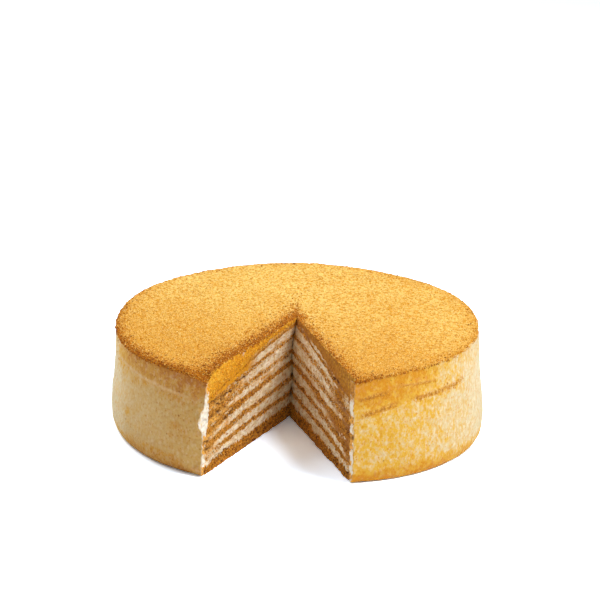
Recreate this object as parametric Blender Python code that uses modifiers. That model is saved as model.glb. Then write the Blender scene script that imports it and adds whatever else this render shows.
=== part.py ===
"""Honey cake with one slice taken out.

Seven honey sponges lie on each other with cream between them. Cream coats the side, and a crust
of cake crumbs covers the top. The missing slice is an eighth of the cake, so each layer runs
through the cake and shows at both faces of the cut.

Lengths are in metres and +Z is up. The cake stands on Z = 0. It is shaped round its own axis,
and then an empty carries all of it to where the middle of its outline stands on the origin.
"""

import math
from collections import namedtuple

import bmesh
import bpy
from mathutils import Vector, noise

MM = 0.001

# Driving dimensions.
CAKE_RADIUS = 100.0 * MM
CAKE_HEIGHT = 59.1 * MM
COAT_THICKNESS = 5.0 * MM
GAP = 0.3 * MM
CORE_RADIUS = CAKE_RADIUS - COAT_THICKNESS - GAP

# The base sponge is the thickest. It reaches further out than the layers above it.
BASE_AXIS_HEIGHT = 8.3 * MM
BASE_RIM_HEIGHT = 5.2 * MM
BASE_DROOP = 1.5
BASE_RADIUS = CAKE_RADIUS - 2.4 * MM
BASE_FOOT_RADIUS = CAKE_RADIUS - 3.6 * MM
BASE_FOOT_HEIGHT = 2.4 * MM

# The coat turns in towards the foot of the cake, just clear of what the cake stands on.
COAT_LIFT = 0.5 * MM
FOOT_TURN = 1.4 * MM
FOOT_TURN_HEIGHT = 5.0 * MM
FOOT_TURN_STEPS = 3
FOOT_GAP = 2 * GAP

# The crust is thin over the axis and thick at the rim. Its lip covers the top of the coat.
CROWN = 0.8 * MM
CRUST_AXIS_UNDERSIDE = 57.95 * MM
CRUST_RIM_UNDERSIDE = 44.6 * MM
CRUST_DROOP = 1.7
LIP_DEPTH = 3.2 * MM
LIP_ROUND = 3.0 * MM
LIP_ROUND_STEPS = 3

# A thin sponge droops towards the rim. Its middle height and its thickness are given at the axis
# and at the rim, and a higher droop power keeps it level for longer.
Sponge = namedtuple("Sponge", "axis_height rim_height droop axis_thickness rim_thickness")
THIN_SPONGES = (
    Sponge(15.0 * MM, 9.0 * MM, 2.6, 2.4 * MM, 2.8 * MM),
    Sponge(24.0 * MM, 15.6 * MM, 1.9, 2.4 * MM, 4.4 * MM),
    Sponge(33.2 * MM, 24.4 * MM, 1.6, 2.6 * MM, 5.6 * MM),
    Sponge(39.8 * MM, 32.6 * MM, 1.6, 2.2 * MM, 4.6 * MM),
    Sponge(49.2 * MM, 38.8 * MM, 1.4, 2.4 * MM, 4.0 * MM),
    Sponge(56.2 * MM, 42.9 * MM, 1.4, 1.5 * MM, 1.8 * MM),
)
FIRST_THIN_SPONGE = 2

# The hand-made outline: (waves round the cake, cosine part, sine part) at the foot and the rim.
FOOT_SPREAD = 1.7 * MM
RIM_SPREAD = 0.5 * MM
FOOT_WAVES = ((1, 1.1 * MM, 0.1 * MM), (2, 0.3 * MM, -0.6 * MM), (3, 1.0 * MM, -0.8 * MM))
RIM_WAVES = ((2, -0.1 * MM, 0.6 * MM), (3, 0.7 * MM, -0.7 * MM), (6, -0.6 * MM, 0.0 * MM))
BELLY_HEIGHT_SHARE = 0.22
BELLY = 2.0 * MM
BELLY_TO_THE_LEFT = 0.3 * MM
# Beside the right edge of the cut the foot is pinched in.
PINCH = 2.6 * MM
PINCH_ANGLE = math.radians(-72)
PINCH_SPAN = math.radians(12)
TILT_X = 0.011
TILT_Y = 0.004
LAYER_SWELL = 1.0 * MM
LAYER_SWELL_LENGTH = 46.0 * MM
CRUMB_RELIEF = 0.35 * MM
CRUMB_LUMP = 7.0 * MM
COAT_RELIEF = 0.45 * MM
COAT_LUMP = 16.0 * MM

# The slice: the ends of its tip, and of its left and right edge on the side of the cake.
TIP_FOOT = Vector((-2.6 * MM, 4.5 * MM))
TIP_TOP = Vector((0.3 * MM, 1.0 * MM))
LEFT_FOOT = Vector((-48.1 * MM, -87.7 * MM))
LEFT_TOP = Vector((-47.1 * MM, -88.8 * MM))
RIGHT_FOOT = Vector((31.0 * MM, -91.5 * MM))
RIGHT_TOP = Vector((31.2 * MM, -92.7 * MM))
CUT_REACH = 1.3
CUT_STATIONS = 15
CUT_LEVEL_STEP = 4.2 * MM
CUT_BELOW = 3.0 * MM
CUT_ABOVE = 6.0 * MM
CUT_ROUGHNESS = 0.55 * MM
CUT_LUMP = 6.0 * MM
SPONGE_RECESS = -0.45 * MM
CREAM_RECESS = -0.85 * MM
BASE_CUT_SEED = 0.5
LAYER_CUT_SEED = 3.7
COAT_CUT_SEED = 61.3
CRUST_CUT_SEED = 67.9

# On the left of the cut the crust has crumbled a little along its top edge, most near the rim.
CRUMBLE_DEPTH = 1.0 * MM
CRUMBLE_MIDDLE = 0.8
CRUMBLE_SPAN = 0.3

# How finely the turned shapes are divided. The turn starts at the right edge of the cut, so that
# the corners of the layers there lie close against the coat.
START_ANGLE = math.radians(-71.5)
CORE_SEGMENTS = 24
SHELL_SEGMENTS = 60
CORE_RINGS = (0.3, 0.55, 0.8, 1.0)
COAT_BANDS = 5
BAND_CROWDING = 1.5
CRUST_RINGS = (0.15, 0.3, 0.45, 0.6, 0.75, 0.88)
MERGE_DISTANCE = 0.05 * MM
SHARP_ANGLE = math.radians(40)

SPONGE_COLOUR = (0.42, 0.17, 0.035)
CREAM_COLOUR = (0.86, 0.80, 0.70)
COAT_COLOUR = (0.86, 0.66, 0.30)
CRUST_COLOUR = (0.87, 0.46, 0.10)
SPONGE_ROUGHNESS = 0.9
CREAM_ROUGHNESS = 0.5
COAT_ROUGHNESS = 0.65
CRUST_ROUGHNESS = 0.95


def clear_scene():
    for obj in list(bpy.data.objects):
        bpy.data.objects.remove(obj, do_unlink=True)


def new_collection(name):
    collection = bpy.data.collections.new(name)
    bpy.context.scene.collection.children.link(collection)
    return collection


def new_material(name, colour, roughness):
    material = bpy.data.materials.new(name)
    material.use_nodes = True
    shader = material.node_tree.nodes["Principled BSDF"]
    shader.inputs["Base Color"].default_value = (*colour, 1.0)
    shader.inputs["Roughness"].default_value = roughness
    shader.inputs["Metallic"].default_value = 0.0
    return material


def drooping(axis_value, rim_value, power, share):
    """A value that changes from the axis (share 0) to the rim of the layers (share 1)."""
    return axis_value + (rim_value - axis_value) * share**power


def base_top(share):
    return drooping(BASE_AXIS_HEIGHT, BASE_RIM_HEIGHT, BASE_DROOP, share)


def crust_underside(share):
    return drooping(CRUST_AXIS_UNDERSIDE, CRUST_RIM_UNDERSIDE, CRUST_DROOP, share)


def sponge_face(sponge, side, share):
    """Height of the lower (side -1) or upper (side 1) face of a thin sponge."""
    middle = drooping(sponge.axis_height, sponge.rim_height, sponge.droop, share)
    thickness = drooping(sponge.axis_thickness, sponge.rim_thickness, sponge.droop, share)
    return middle + side * thickness / 2


def layer_faces():
    """The faces between the layers, from the base sponge up, each a height for a share."""
    faces = [base_top]
    for sponge in THIN_SPONGES:
        for side in (-1, 1):
            faces.append(lambda share, s=sponge, up=side: sponge_face(s, up, share))
    faces.append(crust_underside)
    return faces


def crust_top(radius):
    return CAKE_HEIGHT + CROWN * (1 - (radius / CAKE_RADIUS) ** 2)


def layer_profile(lower, upper):
    """Half a layer: out along its upper face, down its edge and back along its lower face."""
    above = [(share * CORE_RADIUS, upper(share) - GAP / 2) for share in (0, *CORE_RINGS)]
    below = [(share * CORE_RADIUS, lower(share) + GAP / 2) for share in (0, *CORE_RINGS)]
    return above + below[::-1]


def base_profile():
    above = [(share * CORE_RADIUS, base_top(share) - GAP / 2) for share in (0, *CORE_RINGS)]
    edge = [
        (BASE_RADIUS, base_top(1) - GAP / 2),
        (BASE_RADIUS, BASE_FOOT_HEIGHT),
        (BASE_FOOT_RADIUS, 0.0),
    ]
    return above + edge + [(0.0, 0.0)]


def band_heights(low, high):
    """Heights of the coat's bands, closer together in its belly than above it."""
    steps = range(COAT_BANDS + 1)
    return [low + (high - low) * (step / COAT_BANDS) ** BAND_CROWDING for step in steps]


def coat_profile():
    """The coat's section, a closed loop: down its outer side and up its inner side."""
    top = CAKE_HEIGHT - LIP_DEPTH - GAP
    ledge = base_top(1) + GAP / 2
    inner = CAKE_RADIUS - COAT_THICKNESS
    outer = [(CAKE_RADIUS, height) for height in band_heights(FOOT_TURN_HEIGHT, top)][::-1]
    for step in range(1, FOOT_TURN_STEPS + 1):
        angle = math.pi / 2 * step / FOOT_TURN_STEPS
        outer.append(
            (
                CAKE_RADIUS - FOOT_TURN * (1 - math.cos(angle)),
                COAT_LIFT + (FOOT_TURN_HEIGHT - COAT_LIFT) * (1 - math.sin(angle)),
            )
        )
    inside = [
        (BASE_FOOT_RADIUS + FOOT_GAP, COAT_LIFT),
        (BASE_RADIUS + GAP, BASE_FOOT_HEIGHT),
        (BASE_RADIUS + GAP, ledge),
    ]
    wall = [(inner, height) for height in band_heights(ledge, top)]
    return outer + inside + wall


def crust_profile():
    above = [(0.0, crust_top(0.0))]
    above += [(share * CAKE_RADIUS, crust_top(share * CAKE_RADIUS)) for share in CRUST_RINGS]
    lip = []
    for step in range(LIP_ROUND_STEPS + 1):
        angle = math.pi / 2 * step / LIP_ROUND_STEPS
        lip.append(
            (
                CAKE_RADIUS - LIP_ROUND * (1 - math.sin(angle)),
                CAKE_HEIGHT - LIP_ROUND * (1 - math.cos(angle)),
            )
        )
    lip.append((CAKE_RADIUS, CAKE_HEIGHT - LIP_DEPTH))
    lip.append((CORE_RADIUS, CAKE_HEIGHT - LIP_DEPTH))
    below = [
        (share * CORE_RADIUS, crust_underside(share) + GAP / 2) for share in (0, *CORE_RINGS)
    ]
    return above + lip + below[::-1]


def wave_sum(angle, waves):
    return sum(c * math.cos(n * angle) + s * math.sin(n * angle) for n, c, s in waves)


def settled(point):
    """Where a point of the perfect cylinder lies in the hand-made cake."""
    angle = math.atan2(point.y, point.x)
    reach = point.xy.length / CAKE_RADIUS
    share = point.z / CAKE_HEIGHT
    foot = FOOT_SPREAD + wave_sum(angle, FOOT_WAVES)
    foot -= PINCH * math.exp(-(((angle - PINCH_ANGLE) / PINCH_SPAN) ** 2))
    rim = RIM_SPREAD + wave_sum(angle, RIM_WAVES)
    belly = BELLY - BELLY_TO_THE_LEFT * math.cos(angle)
    belly *= share / BELLY_HEIGHT_SHARE * math.exp(1 - share / BELLY_HEIGHT_SHARE)
    outward = foot * (1 - share) + rim * share + belly
    swell = LAYER_SWELL * noise.noise(point / LAYER_SWELL_LENGTH) * math.sin(math.pi * share)
    lift = share * (TILT_X * point.x + TILT_Y * point.y) + swell
    moved = point + Vector((math.cos(angle), math.sin(angle), 0.0)) * outward * reach
    moved.z += lift
    return moved


def with_crumbs(point):
    """Small heaps in the crumbs on the crust's upper face."""
    if point.z < CAKE_HEIGHT - LIP_ROUND / 2:
        return point
    return point + Vector((0, 0, CRUMB_RELIEF * noise.noise(point / CRUMB_LUMP)))


def with_strokes(point):
    """Shallow waves in the coat's outer face, left by the palette knife."""
    if point.xy.length < CAKE_RADIUS - FOOT_TURN / 2:
        return point
    outward = point.xy.normalized() * COAT_RELIEF * noise.noise(point / COAT_LUMP)
    return point + outward.to_3d()


def as_they_are(point):
    return point


def split_quads_alike(mesh):
    """Cuts each quad along the same diagonal, so that the faces of two neighbours stay parallel."""
    bm = bmesh.new()
    bm.from_mesh(mesh)
    for face in [face for face in bm.faces if len(face.verts) == 4]:
        corners = list(face.verts)
        near = sorted(corners, key=lambda vert: vert.co.xy.length)[:2]
        turn = near[0].co.xy.cross(near[1].co.xy)
        first = near[0] if turn > 0 else near[1]
        opposite = corners[(corners.index(first) + 2) % 4]
        bmesh.utils.face_split(face, first, opposite)
    bm.to_mesh(mesh)
    bm.free()


def turned(name, profile, closed, segments, relief, material, collection):
    """A profile turned round the axis, then moved point by point into its hand-made shape."""
    ends = [(i, i + 1) for i in range(len(profile) - 1)]
    if closed:
        ends.append((len(profile) - 1, 0))
    along = Vector((math.cos(START_ANGLE), math.sin(START_ANGLE), 0.0))
    outline = bpy.data.meshes.new(name + "_profile")
    points = [along * radius + Vector((0.0, 0.0, height)) for radius, height in profile]
    outline.from_pydata(points, ends, [])
    obj = bpy.data.objects.new(name, outline)
    collection.objects.link(obj)
    screw = obj.modifiers.new("Turn", "SCREW")
    screw.steps = segments
    screw.render_steps = segments
    screw.use_merge_vertices = True
    screw.merge_threshold = MERGE_DISTANCE
    graph = bpy.context.evaluated_depsgraph_get()
    mesh = bpy.data.meshes.new_from_object(obj.evaluated_get(graph))
    obj.modifiers.clear()
    obj.data = mesh
    bpy.data.meshes.remove(outline)
    split_quads_alike(mesh)
    for vertex in mesh.vertices:
        vertex.co = settled(relief(vertex.co.copy()))
    mesh.name = name
    mesh.shade_smooth()
    mesh.set_sharp_from_angle(angle=SHARP_ANGLE)
    mesh.materials.append(material)
    return obj


def cut_offset(edge, station, height, recess, seed, crumbles):
    """How far a point of the cut lies inside the cake, past the plane through the slice's edges."""
    place = Vector((edge.length * station / CUT_LUMP, height / CUT_LUMP, seed))
    offset = recess + CUT_ROUGHNESS * noise.noise(place)
    if crumbles:
        start = crust_underside(min(station, 1.0))
        rise = max(0.0, (height - start) / (CAKE_HEIGHT - start))
        away = (station - CRUMBLE_MIDDLE) / CRUMBLE_SPAN
        offset += CRUMBLE_DEPTH * min(rise, 1.0) * math.exp(-(away**2))
    return offset


def cut_edge(tip, foot, top, height_share, sign, height, recess, seed, crumbles):
    """Points along one face of the cut at one height, from the tip outwards."""
    edge = foot.lerp(top, height_share) - tip
    into_cake = Vector((-edge.y, edge.x)).normalized() * sign
    points = []
    for step in range(1, CUT_STATIONS + 1):
        station = CUT_REACH * step / CUT_STATIONS
        offset = cut_offset(edge, station, height, recess, seed + sign, crumbles)
        points.append(tip + edge * station + into_cake * offset)
    return points


def slice_cutter(name, recess, seed, crumbles, collection):
    """The missing slice, as a rough wedge lofted from below the cake to above it."""
    bottom = -CUT_BELOW
    top = CAKE_HEIGHT + CUT_ABOVE
    levels = round((top - bottom) / CUT_LEVEL_STEP)
    bm = bmesh.new()
    rings = []
    for level in range(levels + 1):
        height = bottom + (top - bottom) * level / levels
        share = height / CAKE_HEIGHT
        tip = TIP_FOOT.lerp(TIP_TOP, share)
        right = cut_edge(tip, RIGHT_FOOT, RIGHT_TOP, share, 1, height, recess, seed, False)
        left = cut_edge(tip, LEFT_FOOT, LEFT_TOP, share, -1, height, recess, seed, crumbles)
        outline = [tip, *right, *left[::-1]]
        rings.append([bm.verts.new((point.x, point.y, height)) for point in outline])
    for lower, upper in zip(rings, rings[1:]):
        for i in range(len(lower)):
            j = (i + 1) % len(lower)
            bm.faces.new((lower[i], lower[j], upper[j], upper[i]))
    bm.faces.new(rings[0][::-1])
    bm.faces.new(rings[-1])
    bmesh.ops.recalc_face_normals(bm, faces=bm.faces)
    mesh = bpy.data.meshes.new(name)
    bm.to_mesh(mesh)
    bm.free()
    cutter = bpy.data.objects.new(name, mesh)
    cutter.display_type = "WIRE"
    cutter.hide_render = True
    collection.objects.link(cutter)
    return cutter


def take_slice_from(obj, recess, seed, cutters, crumbles=False):
    cutter = slice_cutter("slice_from_" + obj.name, recess, seed, crumbles, cutters)
    cut = obj.modifiers.new("Slice", "BOOLEAN")
    cut.operation = "DIFFERENCE"
    cut.solver = "EXACT"
    cut.object = cutter


def build_layers(sponge_material, cream_material, collection, cutters):
    """The base sponge, and above it cream and thin sponge in turn up to the crust."""
    base = turned(
        "base_sponge", base_profile(), False, SHELL_SEGMENTS, as_they_are, sponge_material, collection
    )
    take_slice_from(base, SPONGE_RECESS, BASE_CUT_SEED, cutters)
    faces = layer_faces()
    for i, (lower, upper) in enumerate(zip(faces, faces[1:])):
        is_cream = i % 2 == 0
        if is_cream:
            name, material, recess = f"cream_{i // 2 + 1}", cream_material, CREAM_RECESS
        else:
            number = i // 2 + FIRST_THIN_SPONGE
            name, material, recess = f"sponge_{number}", sponge_material, SPONGE_RECESS
        profile = layer_profile(lower, upper)
        layer = turned(name, profile, False, CORE_SEGMENTS, as_they_are, material, collection)
        take_slice_from(layer, recess, LAYER_CUT_SEED * (i + 1), cutters)


def build_coat(material, collection, cutters):
    coat = turned(
        "cream_coat", coat_profile(), True, SHELL_SEGMENTS, with_strokes, material, collection
    )
    take_slice_from(coat, CREAM_RECESS, COAT_CUT_SEED, cutters)


def build_crust(material, collection, cutters):
    crust = turned(
        "crumb_crust", crust_profile(), False, SHELL_SEGMENTS, with_crumbs, material, collection
    )
    take_slice_from(crust, SPONGE_RECESS, CRUST_CUT_SEED, cutters, crumbles=True)


def evaluated_corners(obj, graph):
    mesh = obj.evaluated_get(graph).to_mesh()
    corners = [vertex.co.copy() for vertex in mesh.vertices]
    obj.evaluated_get(graph).to_mesh_clear()
    return corners


def stand_on_origin(parts, cutters):
    """Carries the whole cake to where the middle of its outline stands on the origin."""
    bpy.context.view_layer.update()
    graph = bpy.context.evaluated_depsgraph_get()
    corners = [co for obj in parts.objects for co in evaluated_corners(obj, graph)]
    middle = Vector((0.0, 0.0, 0.0))
    for axis in (0, 1):
        reach = [co[axis] for co in corners]
        middle[axis] = (min(reach) + max(reach)) / 2
    stand = bpy.data.objects.new("cake_axis", None)
    stand.location = -middle
    bpy.context.scene.collection.objects.link(stand)
    for obj in [*parts.objects, *cutters.objects]:
        obj.parent = stand
    print(f"cake axis at {stand.location.x:.5f}, {stand.location.y:.5f}")


def main():
    clear_scene()
    parts = new_collection("honey_cake")
    cutters = new_collection("slice_cutters")
    sponge = new_material("honey_sponge", SPONGE_COLOUR, SPONGE_ROUGHNESS)
    cream = new_material("cream_filling", CREAM_COLOUR, CREAM_ROUGHNESS)
    coat = new_material("cream_side", COAT_COLOUR, COAT_ROUGHNESS)
    crust = new_material("crumbs", CRUST_COLOUR, CRUST_ROUGHNESS)
    build_layers(sponge, cream, parts, cutters)
    build_coat(coat, parts, cutters)
    build_crust(crust, parts, cutters)
    stand_on_origin(parts, cutters)


main()
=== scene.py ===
# %% [markdown]
# # A honey cake with one slice taken out
#
# This file dresses the solids of a honey cake: thin sponges with cream between them, cream spread
# over the side, and a crust of cake crumbs on top. The solids already have the true form. Here each
# one is made again with a fine surface, crumbs are scattered over it, and everything gets a finish.
# The solids are loaded first and never moved, so every new piece can be worked out in their frame.

# %% Load the solids
import math
import random
from collections import namedtuple

import bmesh
import bpy
from mathutils import Matrix, Vector, geometry, noise


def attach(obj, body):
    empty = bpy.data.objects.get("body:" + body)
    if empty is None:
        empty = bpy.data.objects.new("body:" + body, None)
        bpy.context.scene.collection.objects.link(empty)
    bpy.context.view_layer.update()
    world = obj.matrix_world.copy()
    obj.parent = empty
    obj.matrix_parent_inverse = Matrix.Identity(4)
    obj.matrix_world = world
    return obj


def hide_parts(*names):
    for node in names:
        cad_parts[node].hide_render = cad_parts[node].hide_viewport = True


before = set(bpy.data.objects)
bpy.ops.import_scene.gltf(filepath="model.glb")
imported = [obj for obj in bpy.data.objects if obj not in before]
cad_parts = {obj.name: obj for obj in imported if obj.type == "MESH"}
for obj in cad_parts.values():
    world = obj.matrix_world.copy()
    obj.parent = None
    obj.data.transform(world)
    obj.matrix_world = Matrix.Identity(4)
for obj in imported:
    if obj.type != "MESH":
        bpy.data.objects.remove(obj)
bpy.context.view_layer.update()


# %% [markdown]
# ## The cake's sizes
#
# A few driving sizes describe the whole cake. They are the same as in the source of the solids,
# because a new piece has to lie where the solid that it stands for lies. Lengths are in metres.
# The cake is shaped round its own axis, and `AXIS` says where that axis stands in the frame.

# %% Sizes of the cake
MM = 0.001
AXIS = Vector((-1.47, -4.52, 0.0)) * MM

CAKE_RADIUS = 100.0 * MM
CAKE_HEIGHT = 59.1 * MM
CORE_RADIUS = 94.7 * MM
CROWN = 0.8 * MM

BASE_RADIUS = 97.6 * MM
BASE_FOOT_RADIUS = 96.4 * MM
BASE_FOOT_HEIGHT = 2.4 * MM
COAT_LIFT = 0.5 * MM
FOOT_TURN = 0.9 * MM
FOOT_TURN_HEIGHT = 5.0 * MM
LIP_ROUND = 3.0 * MM

Droop = namedtuple("Droop", "axis_height rim_height power")
Sponge = namedtuple("Sponge", "axis_height rim_height droop axis_thickness rim_thickness")
BASE_TOP = Droop(8.3 * MM, 5.2 * MM, 1.5)
CRUST_UNDERSIDE = Droop(57.95 * MM, 44.6 * MM, 1.7)
THIN_SPONGES = (
    Sponge(15.0 * MM, 9.0 * MM, 2.6, 2.4 * MM, 2.8 * MM),
    Sponge(24.0 * MM, 15.6 * MM, 1.9, 2.4 * MM, 4.4 * MM),
    Sponge(33.2 * MM, 24.4 * MM, 1.6, 2.6 * MM, 5.6 * MM),
    Sponge(39.8 * MM, 32.6 * MM, 1.6, 2.2 * MM, 4.6 * MM),
    Sponge(49.2 * MM, 38.8 * MM, 1.4, 2.4 * MM, 4.0 * MM),
    Sponge(56.2 * MM, 42.9 * MM, 1.4, 1.5 * MM, 1.8 * MM),
)

print("cake:", round(CAKE_HEIGHT / MM, 1), "mm high, layers:", 2 + 2 * len(THIN_SPONGES))

# %% [markdown]
# ## The hand-made form
#
# A real cake is never a perfect cylinder. Its foot spreads a little, its side has a belly, and it
# leans by half a degree. One function carries any point of the perfect cylinder to its place in the
# hand-made cake, so every layer bends the same way and the layers stay together.

# %% From the perfect cylinder to the hand-made cake
FOOT_SPREAD = 1.7 * MM
RIM_SPREAD = 0.5 * MM
FOOT_WAVES = ((1, 1.1 * MM, 0.1 * MM), (2, 0.3 * MM, -0.6 * MM), (3, 1.0 * MM, -0.8 * MM))
RIM_WAVES = ((2, -0.1 * MM, 0.6 * MM), (3, 0.7 * MM, -0.7 * MM), (6, -0.6 * MM, 0.0 * MM))
BELLY_HEIGHT_SHARE = 0.22
BELLY = 2.0 * MM
BELLY_TO_THE_LEFT = 0.3 * MM
PINCH = 2.6 * MM
PINCH_ANGLE = math.radians(-72)
PINCH_SPAN = math.radians(12)
TILT_X = 0.011
TILT_Y = 0.004
LAYER_SWELL = 1.0 * MM
LAYER_SWELL_LENGTH = 46.0 * MM
SETTLE_ROUNDS = 3
REACH_ROUNDS = 4
RING_ROUNDS = 8


def soft_step(value, low, high):
    share = min(max((value - low) / (high - low), 0.0), 1.0)
    return share * share * (3 - 2 * share)


def drooping(axis_value, rim_value, power, share):
    return axis_value + (rim_value - axis_value) * share**power


def droop_face(droop):
    """The height of a face between two layers, for a radius."""
    return lambda radius: drooping(
        droop.axis_height, droop.rim_height, droop.power, min(radius / CORE_RADIUS, 1.0)
    )


def sponge_face(sponge, side):
    """The lower (side -1) or upper (side 1) face of a thin sponge, as a height for a radius."""

    def height(radius):
        share = min(radius / CORE_RADIUS, 1.0)
        middle = drooping(sponge.axis_height, sponge.rim_height, sponge.droop, share)
        thickness = drooping(sponge.axis_thickness, sponge.rim_thickness, sponge.droop, share)
        return middle + side * thickness / 2

    return height


def crust_top(radius):
    return CAKE_HEIGHT + CROWN * (1 - (radius / CAKE_RADIUS) ** 2)


def polar(angle, radius, *height):
    """A place given by its angle and its radius, on the flat or at a height."""
    return Vector((radius * math.cos(angle), radius * math.sin(angle), *height))


def wave_sum(angle, waves):
    return sum(c * math.cos(n * angle) + s * math.sin(n * angle) for n, c, s in waves)


def settled(point):
    """Where a point of the perfect cylinder lies in the hand-made cake."""
    angle = math.atan2(point.y, point.x)
    reach = point.xy.length / CAKE_RADIUS
    share = point.z / CAKE_HEIGHT
    foot = FOOT_SPREAD + wave_sum(angle, FOOT_WAVES)
    foot -= PINCH * math.exp(-(((angle - PINCH_ANGLE) / PINCH_SPAN) ** 2))
    rim = RIM_SPREAD + wave_sum(angle, RIM_WAVES)
    belly = BELLY - BELLY_TO_THE_LEFT * math.cos(angle)
    belly *= share / BELLY_HEIGHT_SHARE * math.exp(1 - share / BELLY_HEIGHT_SHARE)
    outward = (foot * (1 - share) + rim * share + belly) * reach
    swell = LAYER_SWELL * noise.noise(point / LAYER_SWELL_LENGTH) * math.sin(math.pi * share)
    lift = share * (TILT_X * point.x + TILT_Y * point.y) + swell
    x = point.x + math.cos(angle) * outward
    y = point.y + math.sin(angle) * outward
    return Vector((x, y, point.z + lift))


def settled_over(x, y, face):
    """Height of a settled face over a place, and the radius in the perfect cylinder there."""
    guess = Vector((x, y))
    for _ in range(SETTLE_ROUNDS):
        moved = settled(Vector((guess.x, guess.y, face(guess.length))))
        guess += Vector((x, y)) - moved.xy
    return moved.z, guess.length


rim_right = settled(Vector((CAKE_RADIUS, 0, CAKE_HEIGHT)))
print("rim of the top, to the right:", [round(v / MM, 2) for v in rim_right])

# %% [markdown]
# ## The camera
#
# The photograph looks down on the cake at about 21 degrees through a long lens, so its sides hardly
# converge. The camera stands 1.5 m from the foot of the cake's axis. It is turned a little so that
# this point falls where the photograph has it, and rolled by the degree and a half that the
# photograph leans. The place of that point is given in pixels of the 600 pixel frame.

# %% Camera
FRAME_PIXELS = 600
SENSOR_WIDTH = 36.0
FOCAL_PIXELS = 2666.0
CAMERA_DISTANCE = 1.5
CAMERA_ELEVATION = math.radians(21.21)
CAMERA_ROLL = math.radians(1.43)
AXIS_FOOT_PIXEL = Vector((297.0, 418.6))


def aimed_camera():
    data = bpy.data.cameras.new("camera")
    data.lens = SENSOR_WIDTH * FOCAL_PIXELS / FRAME_PIXELS
    data.sensor_width = SENSOR_WIDTH
    data.clip_start = 0.1
    data.clip_end = 60.0
    place = CAMERA_DISTANCE * Vector((0.0, -math.cos(CAMERA_ELEVATION), math.sin(CAMERA_ELEVATION)))
    forward = -place.normalized()
    right = forward.cross(Vector((0.0, 0.0, 1.0))).normalized()
    up = right.cross(forward)
    middle = FRAME_PIXELS / 2
    pan = math.atan((AXIS_FOOT_PIXEL.x - middle) / FOCAL_PIXELS)
    tilt = math.atan((AXIS_FOOT_PIXEL.y - middle) / FOCAL_PIXELS)
    panned = forward * math.cos(pan) - right * math.sin(pan)
    right = right * math.cos(pan) + forward * math.sin(pan)
    ahead = panned * math.cos(tilt) + up * math.sin(tilt)
    up = up * math.cos(tilt) - panned * math.sin(tilt)
    rolled_right = right * math.cos(CAMERA_ROLL) + up * math.sin(CAMERA_ROLL)
    rolled_up = up * math.cos(CAMERA_ROLL) - right * math.sin(CAMERA_ROLL)
    turn = Matrix((rolled_right, rolled_up, -ahead)).transposed()
    camera = bpy.data.objects.new("camera", data)
    camera.matrix_world = Matrix.Translation(place + AXIS) @ turn.to_4x4()
    bpy.context.scene.collection.objects.link(camera)
    bpy.context.scene.camera = camera
    return camera


camera = aimed_camera()
print("lens", round(camera.data.lens, 1), "mm")

# %% [markdown]
# ## Floor and light
#
# The cake stands on plain white paper. One large soft light stands high to the right, so the right
# side is bright and the cut face that looks left is in shade. A weaker one stands behind on the left,
# a faint warm one in front, and white surroundings fill the rest. A photographer exposes such paper
# until it is fully white, so paper and surroundings look brighter to the camera than they light the
# cake.

# %% Small helpers for node trees
def fill(tree, made, values):
    """Fills a node's inputs, each with a number or with another node's output."""
    for key, value in values.items():
        if isinstance(value, bpy.types.NodeSocket):
            tree.links.new(value, made.inputs[key])
        else:
            made.inputs[key].default_value = value


def node(tree, kind, values=None, **settings):
    """Adds a node, with `values` for its inputs."""
    made = tree.nodes.new(kind)
    for name, value in settings.items():
        setattr(made, name, value)
    fill(tree, made, values or {})
    return made


def maths(tree, operation, *values):
    return node(tree, "ShaderNodeMath", dict(enumerate(values)), operation=operation).outputs[0]


def mapped(tree, value, low, high, start=0.0, end=1.0, **settings):
    """Carries a value from the range low to high over to the range start to end."""
    values = {"Value": value, "From Min": low, "From Max": high, "To Min": start, "To Max": end}
    return node(tree, "ShaderNodeMapRange", values, **settings).outputs["Result"]


def paint(red, green, blue):
    """A colour named as on a screen, from 0 to 255, as the linear colour that a shader takes."""

    def linear(value):
        value /= 255
        return value / 12.92 if value <= 0.04045 else ((value + 0.055) / 1.055) ** 2.4

    return (linear(red), linear(green), linear(blue), 1.0)


# %% Floor, surroundings and lights
FLOOR_SIZE = 24.0
PAPER = 0.94
PAPER_ROUGHNESS = 0.9
PAPER_TO_CAMERA = (1.6, 1.9, 2.26, 1.0)
FILL_STRENGTH = 0.3
WHITE_TO_CAMERA = 1.2
LIGHT_DISTANCE = 1.1
WARM = (1.0, 0.9, 0.74)


def made_floor():
    bm = bmesh.new()
    bmesh.ops.create_grid(bm, x_segments=1, y_segments=1, size=FLOOR_SIZE / 2)
    mesh = bpy.data.meshes.new("floor")
    bm.to_mesh(mesh)
    bm.free()
    paper = bpy.data.materials.new("white_paper")
    paper.use_nodes = True
    tree = paper.node_tree
    shader = tree.nodes["Principled BSDF"]
    seen = node(tree, "ShaderNodeLightPath").outputs["Is Camera Ray"]
    colours = {0: seen, 6: (PAPER, PAPER, PAPER, 1.0), 7: PAPER_TO_CAMERA}
    mix = node(tree, "ShaderNodeMix", colours, data_type="RGBA")
    tree.links.new(mix.outputs[2], shader.inputs["Base Color"])
    shader.inputs["Roughness"].default_value = PAPER_ROUGHNESS
    shader.inputs["Specular IOR Level"].default_value = 0.0
    mesh.materials.append(paper)
    floor = bpy.data.objects.new("floor", mesh)
    bpy.context.scene.collection.objects.link(floor)


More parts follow.
